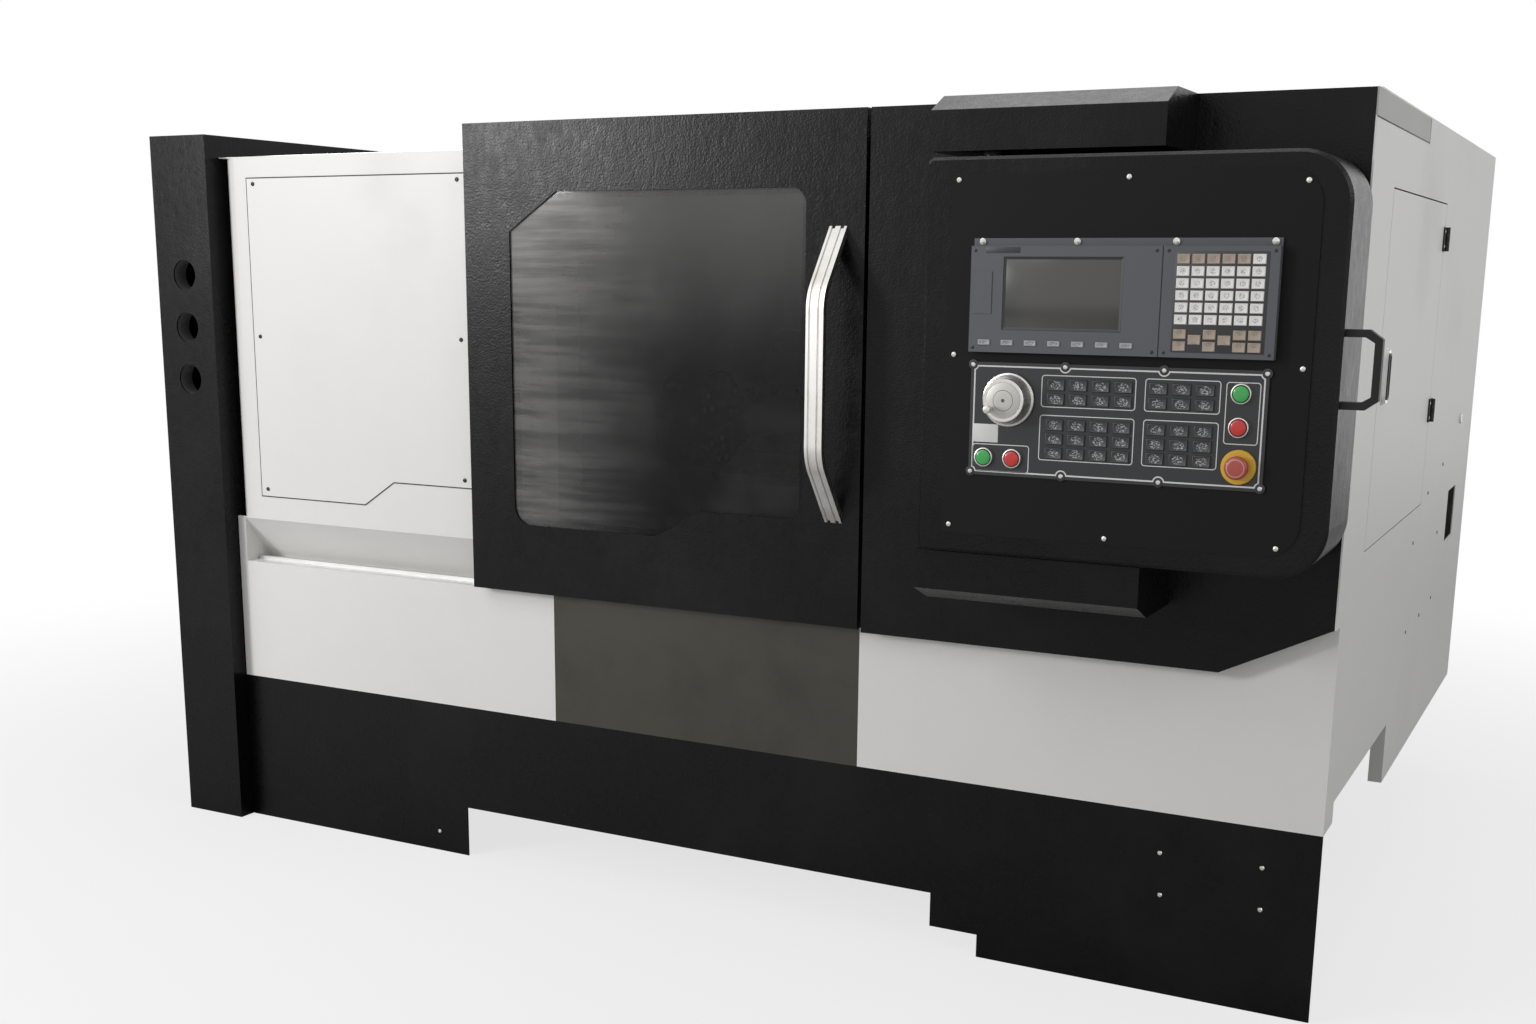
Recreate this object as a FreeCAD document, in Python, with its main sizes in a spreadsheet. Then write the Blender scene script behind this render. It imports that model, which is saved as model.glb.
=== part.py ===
import FreeCAD, Part
import math
import os
from collections import namedtuple

import Sketcher
from FreeCAD import Placement, Rotation, Vector

# An enclosed slant-bed turning lathe: black end column, white headstock cover, black sliding door
# with a window, black cabinet with a swivelling control box, and the machine inside them.
# x runs from the column's left face to the right, y from the apron's face to the rear, z up from
# the floor. The finished pieces are moved so that the origin is under the middle of the machine.

SIZES = {
    # the whole machine
    "machine_width": 3005.0,
    "machine_depth": 2106.0,
    "machine_height": 1800.0,
    "sheet": 3.0,
    "joint_gap": 2.0,
    "slide_gap": 0.3,
    "fit_gap": 0.05,
    # column at the left end, with its gauge ports
    "column_width": 188.0,
    "column_drop": 4.0,
    "column_proud": 46.0,
    "column_wall": 4.0,
    "gauge_radius": 38.0,
    "gauge_drop": 347.0,
    "gauge_pitch": 133.0,
    "housing_depth": 1170.0,
    # headstock cover with its inset plate and the recess under it
    "chuck_clearance": 7.0,
    "cover_drop": 58.0,
    "cover_bottom": 822.0,
    "cover_edge_radius": 50.0,
    "cover_return": 200.0,
    "recess_depth": 90.0,
    "cheek_width": 25.0,
    "plate_inset": 94.0,
    "plate_width": 681.0,
    "plate_bottom": 885.0,
    "plate_top_margin": 54.0,
    "plate_thickness": 2.0,
    "plate_step_left": 345.0,
    "plate_step_run": 94.0,
    "plate_step_height": 62.0,
    # aprons and skirt
    "apron_top": 706.0,
    "apron_bottom": 392.0,
    "apron_return": 15.0,
    "chip_overlap": 19.0,
    "chip_margin": 20.0,
    "corner_return": 99.0,
    "right_apron_rise": 154.0,
    "skirt_thickness": 4.0,
    "skirt_foot_width": 730.0,
    "skirt_clearance": 128.0,
    "skirt_arch_width": 1266.0,
    "skirt_step_width": 111.0,
    "skirt_step_height": 51.0,
    # cabinet that carries the control box
    "opening_width": 807.0,
    "cabinet_proud": 40.0,
    "cabinet_sheet": 4.0,
    "cabinet_slope_run": 212.0,
    "cabinet_slope_rise": 105.0,
    # side and rear covers
    "cap_depth": 680.0,
    "cap_height": 52.0,
    "side_lift": 436.0,
    "side_leg_front": 797.0,
    "rear_lift": 293.0,
    "leg_flange": 28.0,
    "inlet_front": 1671.0,
    "inlet_width": 173.0,
    "inlet_bottom": 755.0,
    "inlet_height": 140.0,
    "lock_setback": 1791.0,
    "lock_height": 1084.0,
    "lock_radius": 14.0,
    "lock_rise": 4.0,
    "hatch_front": 233.0,
    "hatch_width": 850.0,
    "hatch_bottom": 927.0,
    "hatch_drop": 167.0,
    "hatch_gap": 3.0,
    "hatch_fold": 25.0,
    "hinge_low_up": 226.0,
    "hinge_high_down": 79.0,
    "hinge_leaf": 26.0,
    "hinge_height": 55.0,
    "hinge_thickness": 3.0,
    "knuckle_radius": 6.0,
    "hinge_pin_radius": 3.0,
    "latch_front": 300.0,
    "latch_up": 344.0,
    "latch_length": 107.0,
    "latch_width": 38.0,
    "latch_thickness": 8.0,
    "latch_pin_radius": 9.0,
    # sliding door
    "door_gap": 9.0,
    "door_width": 1023.0,
    "door_lift": 6.0,
    "door_drop": 3.0,
    "door_thickness": 32.0,
    "door_face": 40.0,
    "door_wall": 6.0,
    "door_skin": 5.0,
    "window_inset": 126.0,
    "window_width": 761.0,
    "window_bottom": 876.0,
    "window_top_margin": 155.0,
    "window_chamfer_run": 130.0,
    "window_chamfer_drop": 88.0,
    "window_corner_radius": 36.0,
    "window_foot_radius": 45.0,
    "window_step_left": 393.0,
    "window_step_run": 108.0,
    "window_step_height": 65.0,
    "glass_overlap": 20.0,
    "glass_thickness": 8.0,
    "retainer_width": 34.0,
    "retainer_thickness": 4.0,
    "handle_inset": 61.0,
    "handle_bottom": 945.0,
    "handle_top_margin": 240.0,
    "handle_leg": 136.0,
    "handle_reach": 104.0,
    "handle_width": 40.0,
    "handle_thickness": 11.0,
    "handle_rib": 3.0,
    "handle_bend": 90.0,
    "track_gap": 5.0,
    "track_margin": 17.0,
    "track_width": 30.0,
    "track_height": 9.0,
    "top_track_setback": 100.0,
    "low_track_width": 14.0,
    "low_track_setback": 40.0,
    "hanger_width": 70.0,
    "hanger_inset": 60.0,
    "hanger_thickness": 5.0,
    "shoe_wall": 8.0,
    # control box, hood and bracket
    "box_inset": 228.0,
    "box_width": 767.0,
    "box_gap": 13.0,
    "box_height": 736.0,
    "box_front": 290.0,
    "box_depth": 200.0,
    "box_wall": 4.0,
    "box_corner_radius": 92.0,
    "box_small_radius": 14.0,
    "box_edge": 6.0,
    "face_left_margin": 52.0,
    "face_right_margin": 48.0,
    "face_low_margin": 38.0,
    "face_top_margin": 30.0,
    "face_thickness": 3.0,
    "face_rim": 14.0,
    "pivot_inset": 90.0,
    "pivot_setback": 110.0,
    "pivot_radius": 20.0,
    "collar_radius": 40.0,
    "hood_overhang": 13.0,
    "hood_width": 447.0,
    "hood_proud": 248.0,
    "hood_drop": 109.0,
    "hood_face_height": 75.0,
    "hood_slope": 63.0,
    "bracket_proud": 268.0,
    "bracket_face_height": 77.0,
    "bracket_bevel": 68.0,
    "bracket_bevel_drop": 29.0,
    "bracket_gap": 4.0,
    "pull_up": 301.0,
    "pull_height": 136.0,
    "pull_slant_across": 22.0,
    "pull_slant_up": 16.0,
    "pull_reach": 62.0,
    "pull_bar": 13.0,
    "pull_depth": 20.0,
    "pull_setback": 18.0,
    # display unit
    "display_inset": 101.0,
    "display_width": 557.0,
    "display_up": 383.0,
    "display_height": 206.0,
    "display_thickness": 18.0,
    "display_back": 60.0,
    "display_margin": 12.0,
    "flange_height": 14.0,
    "flange_thickness": 4.0,
    "screen_left": 63.0,
    "screen_width": 224.0,
    "screen_bottom": 41.0,
    "screen_height": 132.0,
    "screen_recess": 4.0,
    "split_left": 355.0,
    "split_width": 2.0,
    "key_pitch_across": 26.0,
    "key_pitch_up": 20.8,
    "key_width": 19.0,
    "key_height": 15.0,
    "key_rise": 2.0,
    "keypad_left": 393.0,
    "keypad_up": 66.0,
    "menu_key_up": 20.0,
    "cursor_key_up": 31.5,
    "card_door_left": 4.0,
    "card_door_width": 38.0,
    "card_door_height": 76.0,
    "card_door_up": 70.0,
    "card_door_rise": 1.5,
    "soft_key_left": 30.0,
    "soft_key_pitch": 44.7,
    "soft_key_up": 18.0,
    "soft_key_width": 22.0,
    "soft_key_height": 9.0,
    # operator panel
    "panel_inset": 103.0,
    "panel_width": 548.0,
    "panel_up": 153.0,
    "panel_height": 211.0,
    "panel_thickness": 3.0,
    "panel_margin": 10.0,
    "panel_key_width": 32.0,
    "panel_key_height": 20.0,
    "panel_key_pitch_across": 42.0,
    "panel_key_pitch_up": 26.0,
    "bezel_radius": 18.0,
    "bezel_rise": 6.0,
    "cap_radius": 14.0,
    "cap_rise": 9.0,
    "button_stem": 30.0,
    "start_across": 502.0,
    "start_up": 170.0,
    "stop_across": 501.0,
    "stop_up": 111.0,
    "power_on_across": 31.0,
    "power_off_across": 87.0,
    "power_up": 34.0,
    "emergency_across": 505.0,
    "emergency_up": 42.0,
    "wheel_across": 76.0,
    "wheel_up": 143.0,
    "group_left": 166.0,
    "second_group_left": 355.0,
    "lower_keys_up": 48.0,
    "upper_keys_up": 147.0,
    "stop_ring_radius": 30.0,
    "mushroom_radius": 21.0,
    "mushroom_rise": 28.0,
    "mushroom_head": 15.0,
    "mushroom_stem_radius": 11.0,
    "wheel_radius": 50.0,
    "wheel_rise": 34.0,
    "wheel_shaft_radius": 8.0,
    "crank_across": 24.0,
    "crank_down": 16.0,
    "crank_radius": 8.0,
    "crank_length": 22.0,
    # bed and headstock
    "slant": 45.0,
    "spindle_setback": 560.0,
    "spindle_height": 1090.0,
    "bed_drop": 260.0,
    "bed_low": 240.0,
    "bed_high": 560.0,
    "belt_room": 112.0,
    "bed_margin": 305.0,
    "base_front": 340.0,
    "base_rear": 1450.0,
    "base_tail": 2000.0,
    "base_clearance": 60.0,
    "base_step": 400.0,
    "base_nose": 480.0,
    "base_chin": 640.0,
    "base_shelf": 160.0,
    "base_back_height": 950.0,
    "pad_size": 120.0,
    "pad_thickness": 20.0,
    "jack_radius": 15.0,
    "pad_inset": 150.0,
    "pad_setback": 100.0,
    "headstock_inset": 30.0,
    "headstock_length": 850.0,
    "headstock_top": 190.0,
    "headstock_low": 215.0,
    "headstock_high": 235.0,
    "headstock_shoulder": 60.0,
    "headstock_edge": 85.0,
    "spindle_stub": 7.0,
    "spindle_radius": 70.0,
    "spindle_bore": 38.0,
    "nose_radius": 95.0,
    "nose_length": 32.0,
    "nose_gap": 10.0,
    "chuck_radius": 127.0,
    "chuck_length": 123.0,
    "chuck_edge": 6.0,
    "jaw_width": 38.0,
    "jaw_neck": 22.0,
    "jaw_foot": 14.0,
    "jaw_slot_depth": 30.0,
    "jaw_inner": 32.0,
    "jaw_length": 88.0,
    "jaw_step": 28.0,
    "jaw_rise": 19.0,
    "pulley_gap": 16.0,
    "pulley_width": 72.0,
    "belt_inset": 5.0,
    "spindle_pulley_radius": 130.0,
    "motor_pulley_radius": 80.0,
    "belt_thickness": 8.0,
    "motor_size": 240.0,
    "motor_length": 430.0,
    "motor_inset": 10.0,
    "motor_corner": 14.0,
    "motor_foot": 30.0,
    "motor_fins": 9.0,
    "fin_depth": 8.0,
    "motor_shaft_radius": 24.0,
    "motor_shaft_seat": 80.0,
    # guideways, carriage and turret
    "rail_inset": 15.0,
    "rail_margin": 30.0,
    "rail_width": 45.0,
    "rail_height": 40.0,
    "low_rail": 130.0,
    "rail_spread": 370.0,
    "stock_rail": 20.0,
    "stock_rail_spread": 210.0,
    "screw_radius": 20.0,
    "journal_radius": 14.0,
    "screw_along": 315.0,
    "screw_lift": 28.0,
    "screw_block": 30.0,
    "screw_block_width": 34.0,
    "z_motor_size": 110.0,
    "z_motor_length": 170.0,
    "shaft_seat": 20.0,
    "saddle_setback": 685.0,
    "saddle_length": 360.0,
    "saddle_low": 95.0,
    "saddle_high": 560.0,
    "saddle_lift": 4.0,
    "saddle_top": 110.0,
    "cross_rail_width": 35.0,
    "cross_rail_height": 35.0,
    "cross_rail_inset": 50.0,
    "cross_rail_margin": 20.0,
    "slide_margin": 10.0,
    "slide_length": 260.0,
    "slide_thickness": 72.0,
    "x_motor_size": 100.0,
    "x_motor_drop": 20.0,
    "x_motor_length": 100.0,
    "turret_along": 405.0,
    "turret_body": 240.0,
    "turret_top": 120.0,
    "turret_body_length": 290.0,
    "turret_chamfer": 40.0,
    "disc_radius": 160.0,
    "disc_thickness": 84.0,
    "disc_gap": 6.0,
    "hub_radius": 60.0,
    "hub_length": 60.0,
    "stations": 8.0,
    "holder_width": 70.0,
    "holder_height": 26.0,
    "holder_length": 60.0,
    "tool_size": 20.0,
    "tool_reach": 19.0,
    # tailstock
    "stock_setback": 270.0,
    "stock_length": 250.0,
    "stock_low": 230.0,
    "stock_high": 62.0,
    "stock_base": 70.0,
    "stock_waist": 130.0,
    "stock_neck": 70.0,
    "barrel_radius": 75.0,
    "quill_radius": 45.0,
    "quill_reach": 30.0,
    "quill_length": 230.0,
    "centre_radius": 22.0,
    "centre_length": 70.0,
    "centre_flat": 1.0,
    "centre_cone": 38.0,
    "centre_shank_radius": 15.0,
    "centre_shank": 50.0,
    # chamber
    "chamber_gap": 5.0,
    "chamber_back": 1165.0,
    "nose_hole_radius": 110.0,
    "screw_hole_radius": 26.0,
}

doc = FreeCAD.newDocument("TurningLathe")
sheet_object = doc.addObject("Spreadsheet::Sheet", "Sizes")
for row, (alias, number) in enumerate(SIZES.items(), start=1):
    sheet_object.set(f"A{row}", alias)
    sheet_object.set(f"B{row}", str(number))
    sheet_object.setAlias(f"B{row}", alias)
doc.recompute()


class Size:
    """A number together with the spreadsheet expression that gives it."""

    def __init__(self, value, text):
        self.value = value
        self.text = text

    def __add__(self, other):
        other = as_size(other)
        return Size(self.value + other.value, f"({self.text} + {other.text})")

    def __sub__(self, other):
        other = as_size(other)
        return Size(self.value - other.value, f"({self.text} - {other.text})")

    def __mul__(self, other):
        other = as_size(other)
        return Size(self.value * other.value, f"({self.text} * {other.text})")

    def __truediv__(self, other):
        other = as_size(other)
        return Size(self.value / other.value, f"({self.text} / {other.text})")

    def __radd__(self, other):
        return as_size(other) + self

    def __rsub__(self, other):
        return as_size(other) - self

    def __rmul__(self, other):
        return as_size(other) * self

    def __neg__(self):
        return Size(-self.value, f"(0 - {self.text})")


def as_size(number):
    return number if isinstance(number, Size) else Size(float(number), f"{float(number):.6f}")


def root(size):
    return Size(math.sqrt(size.value), f"sqrt({size.text})")


def cosine(angle):
    return Size(math.cos(math.radians(angle.value)), f"cos({angle.text} * 1 deg)")


def sine(angle):
    return Size(math.sin(math.radians(angle.value)), f"sin({angle.text} * 1 deg)")


class Sheet:
    """The driving sizes by name, each as a Size."""

    def __getattr__(self, name):
        return Size(float(sheet_object.get(name)), f"Sizes.{name}")


s = Sheet()
Hole = namedtuple("Hole", "across up radius")


# ---------------------------------------------------------------- how pieces are drawn and placed

def bind(target, name, size):
    """Give a property its value by an expression on the sheet."""
    size = as_size(size)
    target.setExpression(name, size.text)


def new_body(label):
    body = doc.addObject("PartDesign::Body", label)
    body.Label = label
    return body


def origin_part(body, role):
    return next(part for part in body.Origin.OriginFeatures if part.Role == role)


def draw_circle(sketch, hole):
    across, up, radius = (as_size(size) for size in hole)
    centre = Vector(across.value, up.value, 0)
    circle = sketch.addGeometry(Part.Circle(centre, Vector(0, 0, 1), radius.value), False)
    limits = [
        (Sketcher.Constraint("DistanceX", -1, 1, circle, 3, across.value), across),
        (Sketcher.Constraint("DistanceY", -1, 1, circle, 3, up.value), up),
        (Sketcher.Constraint("Radius", circle, radius.value), radius),
    ]
    for limit, size in limits:
        number = sketch.addConstraint(limit)
        sketch.setExpression(f"Constraints[{number}]", size.text)


def draw_outline(sketch, corners):
    """Draw a closed outline. A corner is (across, up), or (across, up, radius) if it is rounded."""
    sizes = [tuple(as_size(size) for size in corner) for corner in corners]
    points = [Vector(corner[0].value, corner[1].value, 0) for corner in sizes]
    count = len(points)
    arrive, leave, arcs = [], [], {}
    for i, point in enumerate(points):
        before = (points[i - 1] - point).normalize()
        after = (points[(i + 1) % count] - point).normalize()
        half = before.getAngle(after) / 2
        radius = sizes[i][2].value if len(sizes[i]) > 2 else 0.0
        reach = radius / math.tan(half)
        arrive.append(point + before * reach)
        leave.append(point + after * reach)
        if radius:
            centre = point + (before + after).normalize() * (radius / math.sin(half))
            left_turn = before.cross(after).z < 0
            ends = (arrive[i], leave[i]) if left_turn else (leave[i], arrive[i])
            angles = [math.atan2(end.y - centre.y, end.x - centre.x) for end in ends]
            circle = Part.Circle(centre, Vector(0, 0, 1), radius)
            arcs[i] = (Part.ArcOfCircle(circle, *angles), left_turn)
    lines = [sketch.addGeometry(Part.LineSegment(leave[i], arrive[(i + 1) % count]), False)
             for i in range(count)]
    limits, bound = [], []
    for i, corner in enumerate(sizes):
        if i in arcs:
            arc = sketch.addGeometry(arcs[i][0], False)
            held = sketch.addGeometry(Part.Point(points[i]), True)
            first, last = (1, 2) if arcs[i][1] else (2, 1)
            limits += [
                Sketcher.Constraint("Tangent", lines[i - 1], 2, arc, first),
                Sketcher.Constraint("Tangent", arc, last, lines[i], 1),
                Sketcher.Constraint("PointOnObject", held, 1, lines[i - 1]),
                Sketcher.Constraint("PointOnObject", held, 1, lines[i]),
            ]
            bound.append((Sketcher.Constraint("Radius", arc, corner[2].value), corner[2]))
        else:
            held = lines[i]
            limits.append(Sketcher.Constraint("Coincident", lines[i - 1], 2, lines[i], 1))
        bound.append((Sketcher.Constraint("DistanceX", -1, 1, held, 1, corner[0].value), corner[0]))
        bound.append((Sketcher.Constraint("DistanceY", -1, 1, held, 1, corner[1].value), corner[1]))
    sketch.addConstraint(limits)
    numbers = sketch.addConstraint([limit for limit, size in bound])
    for number, (limit, size) in zip(numbers, bound):
        sketch.setExpression(f"Constraints[{number}]", size.text)


def new_sketch(body, plane, at, shapes):
    """A sketch on the body's own XY, XZ or YZ plane, moved to the coordinate at."""
    sketch = body.newObject("Sketcher::SketchObject", f"{body.Label}_sketch")
    sketch.AttachmentSupport = [(origin_part(body, f"{plane}_Plane"), "")]
    sketch.MapMode = "FlatFace"
    toward = -1 if plane == "XZ" else 1
    bind(sketch, "AttachmentOffset.Base.z", as_size(at) * toward)
    for shape in shapes:
        if isinstance(shape, Hole):
            draw_circle(sketch, shape)
        else:
            draw_outline(sketch, shape)
    return sketch


def extrude(body, plane, start, length, *shapes):
    """Pad the shapes from start to start + length, along the axis square to the plane."""
    pad = body.newObject("PartDesign::Pad", f"{body.Label}_pad")
    pad.Profile = new_sketch(body, plane, start, shapes)
    pad.Reversed = plane == "XZ"
    bind(pad, "Length", length)
    body.Tip = pad
    return pad


def cut(body, plane, start, length, *shapes):
    """Pocket the shapes from start to start + length, along the axis square to the plane."""
    pocket = body.newObject("PartDesign::Pocket", f"{body.Label}_pocket")
    pocket.Profile = new_sketch(body, plane, start, shapes)
    pocket.Reversed = plane != "XZ"
    bind(pocket, "Length", length)
    body.Tip = pocket
    return pocket


def turn(body, plane, axis, *shapes):
    """Revolve the shapes a full turn about the sketch's horizontal or vertical axis."""
    revolution = body.newObject("PartDesign::Revolution", f"{body.Label}_turn")
    profile = new_sketch(body, plane, 0, shapes)
    revolution.Profile = profile
    revolution.ReferenceAxis = (profile, [axis])
    revolution.Angle = 360
    body.Tip = revolution
    return revolution


def soften(body, kind, size, wanted):
    """Fillet or chamfer the edges of the body's tip that wanted picks."""
    doc.recompute()
    base = body.Tip
    names = [f"Edge{i}" for i, edge in enumerate(base.Shape.Edges, start=1) if wanted(edge)]
    feature = body.newObject(f"PartDesign::{kind}", f"{body.Label}_{kind.lower()}")
    feature.Base = (base, names)
    bind(feature, "Radius" if kind == "Fillet" else "Size", size)
    body.Tip = feature


def lies_at(edge, axis, value):
    """True for an edge whose bounds both lie at value along the axis."""
    box = edge.BoundBox
    low, high = getattr(box, f"{axis}Min"), getattr(box, f"{axis}Max")
    return abs(low - value) < 0.01 and abs(high - value) < 0.01


def rectangle(left, right, low, high, radius=None):
    corners = [(left, low), (right, low), (right, high), (left, high)]
    return [corner + (radius,) for corner in corners] if radius is not None else corners


def block(label, across, back, up):
    """A Part box between two coordinates on each axis."""
    box = doc.addObject("Part::Box", label)
    for (low, high), side, axis in zip((across, back, up), ("Length", "Width", "Height"), "xyz"):
        bind(box, side, as_size(high) - low)
        bind(box, f"Placement.Base.{axis}", low)
    return box


def rod(label, radius, length, at, along):
    """A Part cylinder from the point at, along x, y or z."""
    cylinder = doc.addObject("Part::Cylinder", label)
    turns = {"x": Rotation(Vector(0, 1, 0), 90), "y": Rotation(Vector(1, 0, 0), -90), "z": Rotation()}
    cylinder.Placement = Placement(Vector(), turns[along])
    bind(cylinder, "Radius", radius)
    bind(cylinder, "Height", length)
    for axis, coordinate in zip("xyz", at):
        bind(cylinder, f"Placement.Base.{axis}", coordinate)
    return cylinder


def fuse(label, members):
    union = doc.addObject("Part::MultiFuse", label)
    union.Shapes = members
    return union


def subtract(label, base, tool):
    result = doc.addObject("Part::Cut", label)
    result.Base = base
    result.Tool = tool
    return result


def group(label, members):
    """Like pieces that share a node as separate solids."""
    compound = doc.addObject("Part::Compound", label)
    compound.Label = label
    compound.Links = members
    return compound


pieces = []

# places that several pieces share, worked out from the sizes
column_top = s.machine_height - s.column_drop
cover_left = s.column_width + s.joint_gap
cover_top = s.machine_height - s.cover_drop
roof_under = cover_top - s.sheet
bed_left = s.column_width + s.belt_room
bed_right = s.machine_width - s.bed_margin
bed_length = bed_right - bed_left
pulley_left = bed_left - s.pulley_gap - s.pulley_width
spindle_left = pulley_left - s.spindle_stub
headstock_left = bed_left + s.headstock_inset
nose_left = headstock_left + s.headstock_length + s.nose_gap
chuck_left = nose_left + s.nose_length
chuck_face = chuck_left + s.chuck_length
cover_right = chuck_left - s.chuck_clearance
cabinet_left = cover_right + s.opening_width
chip_left = cover_right - s.chip_overlap
chip_right = cabinet_left - s.chip_margin
door_right = cabinet_left - s.door_gap
door_left = door_right - s.door_width
door_bottom = s.apron_top + s.door_lift
door_high = s.machine_height - s.door_drop
door_back = s.door_thickness - s.door_face
rail_left = cover_right + s.rail_inset
rail_right = bed_right - s.rail_margin
hood_bottom = s.machine_height - s.hood_drop
box_left = cabinet_left + s.box_inset
box_right = box_left + s.box_width
box_top = hood_bottom - s.box_gap
box_bottom = box_top - s.box_height
face_front = s.box_front + s.face_thickness
panel_front = face_front + s.panel_thickness
crank_tip = panel_front + s.wheel_rise + s.crank_length
middle_x = (box_right + s.pull_reach) / 2
middle_y = (s.machine_depth - crank_tip) / 2


def place(piece, x=0, y=0, z=0, about=None, angle=0):
    """Move a finished piece from the drawing's corner to the origin under the machine."""
    if about is not None:
        piece.Placement = Placement(Vector(), Rotation(Vector(*about), 1))
        piece.setExpression("Placement.Rotation.Angle", f"{as_size(angle).text} * 1 deg")
    bind(piece, "Placement.Base.x", as_size(x) - middle_x)
    bind(piece, "Placement.Base.y", as_size(y) - middle_y)
    bind(piece, "Placement.Base.z", z)
    pieces.append(piece)
    return piece


def place_on_slant(piece, x=0, angle=None):
    """Place a piece drawn about the spindle axis, with y up the bed's slope and z square to it."""
    place(piece, x, s.spindle_setback, s.spindle_height, about=(1, 0, 0),
          angle=s.slant if angle is None else angle)


hatch_high = s.machine_height - s.hatch_drop

# ---------------------------------------------------------------- column, covers, aprons and skirt

def left_column():
    """Black end cover: a deep sheet column, open below, with three round ports for gauges."""
    body = new_body("left_column")
    depth = s.housing_depth + s.column_proud
    extrude(body, "XY", 0, column_top,
            rectangle(0, s.column_width, -s.column_proud, s.housing_depth))
    cut(body, "XY", 0, column_top - s.column_wall,
        rectangle(s.column_wall, s.column_width - s.column_wall,
                  s.column_wall - s.column_proud, s.housing_depth - s.column_wall))
    ports = [Hole(s.column_width / 2, column_top - s.gauge_drop - s.gauge_pitch * i, s.gauge_radius)
             for i in range(3)]
    cut(body, "XZ", -s.column_proud, depth / 4, *ports)
    place(body)


def headstock_cover():
    """White cover with a rounded left edge, side returns, and a wall that slopes back under it."""
    body = new_body("headstock_cover")
    extrude(body, "XY", s.cover_bottom, roof_under - s.cover_bottom,
            [(cover_left, s.cover_return), (cover_left, 0, s.cover_edge_radius),
             (cover_right, 0), (cover_right, s.cover_return)])
    cut(body, "XY", s.cover_bottom, roof_under - s.cover_bottom,
        [(cover_left + s.sheet, s.cover_return),
         (cover_left + s.sheet, s.sheet, s.cover_edge_radius - s.sheet),
         (cover_right - s.sheet, s.sheet), (cover_right - s.sheet, s.cover_return)])
    extrude(body, "YZ", cover_left, cover_right - cover_left,
            [(0, s.cover_bottom), (s.recess_depth, s.apron_top),
             (s.recess_depth + s.sheet, s.apron_top), (s.sheet * 2, s.cover_bottom + s.sheet),
             (0, s.cover_bottom + s.sheet)])
    extrude(body, "YZ", cover_left, s.cheek_width,
            [(0, s.cover_bottom + s.sheet), (0, s.apron_top), (s.recess_depth, s.apron_top),
             (s.sheet, s.cover_bottom + s.sheet)])
    place(body)


def cover_plate():
    """Thin inspection plate on the headstock cover, with a raised step in its lower edge."""
    body = new_body("cover_plate")
    left = s.column_width + s.plate_inset
    right = left + s.plate_width
    low, high = s.plate_bottom, cover_top - s.plate_top_margin
    step = left + s.plate_step_left
    extrude(body, "XZ", -s.plate_thickness, s.plate_thickness,
            [(left, low), (step, low), (step + s.plate_step_run, low + s.plate_step_height),
             (right, low + s.plate_step_height), (right, high), (left, high)])
    place(body)


def apron(label, left, right):
    """Folded front sheet whose top returns to the recess and whose foot returns inwards."""
    body = new_body(label)
    extrude(body, "YZ", left, right - left,
            [(0, s.apron_bottom), (s.apron_return, s.apron_bottom),
             (s.apron_return, s.apron_bottom + s.sheet), (s.sheet, s.apron_bottom + s.sheet),
             (s.sheet, s.apron_top - s.sheet), (s.recess_depth, s.apron_top - s.sheet),
             (s.recess_depth, s.apron_top), (0, s.apron_top)])
    place(body)


right_apron_top = s.apron_top + s.right_apron_rise


def right_apron():
    """White sheet under the cabinet that turns the machine's front right corner."""
    body = new_body("right_apron")
    left = chip_right
    extrude(body, "XY", s.apron_bottom, right_apron_top - s.apron_bottom,
            rectangle(left, s.machine_width, 0, s.corner_return))
    cut(body, "XY", s.apron_bottom, right_apron_top - s.apron_bottom,
        rectangle(left, s.machine_width - s.sheet, s.sheet, s.corner_return))
    extrude(body, "XY", s.apron_bottom, s.sheet,
            rectangle(left, s.machine_width - s.sheet, s.sheet, s.apron_return))
    place(body)


def front_skirt():
    """Black plate down to the floor, arched up between its feet, with a step by the right foot."""
    body = new_body("front_skirt")
    foot = cover_left + s.skirt_foot_width
    arch = foot + s.skirt_arch_width
    step = arch + s.skirt_step_width
    extrude(body, "XZ", 0, s.skirt_thickness,
            [(cover_left, 0), (foot, 0), (foot, s.skirt_clearance), (arch, s.skirt_clearance),
             (arch, s.skirt_step_height), (step, s.skirt_step_height), (step, 0),
             (s.machine_width, 0), (s.machine_width, s.apron_bottom), (cover_left, s.apron_bottom)])
    extrude(body, "XZ", s.skirt_thickness, s.apron_return,
            rectangle(cover_left, s.machine_width - s.sheet,
                      s.apron_bottom - s.skirt_thickness, s.apron_bottom))
    place(body)


def console_cabinet():
    """Black pan that carries the control box, its lower right corner cut off by a slope."""
    body = new_body("console_cabinet")
    right = s.machine_width - s.sheet
    top = s.machine_height - s.sheet
    slope = right - s.cabinet_slope_run
    wall = s.cabinet_sheet
    extrude(body, "XZ", -s.cabinet_proud, s.cabinet_proud,
            [(cabinet_left, s.apron_top), (slope, s.apron_top),
             (right, s.apron_top + s.cabinet_slope_rise), (right, top), (cabinet_left, top)])
    cut(body, "XZ", wall - s.cabinet_proud, s.cabinet_proud - wall,
        rectangle(cabinet_left + wall, right - wall,
                  s.apron_top + s.cabinet_slope_rise + wall, top - wall))
    place(body)


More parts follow.
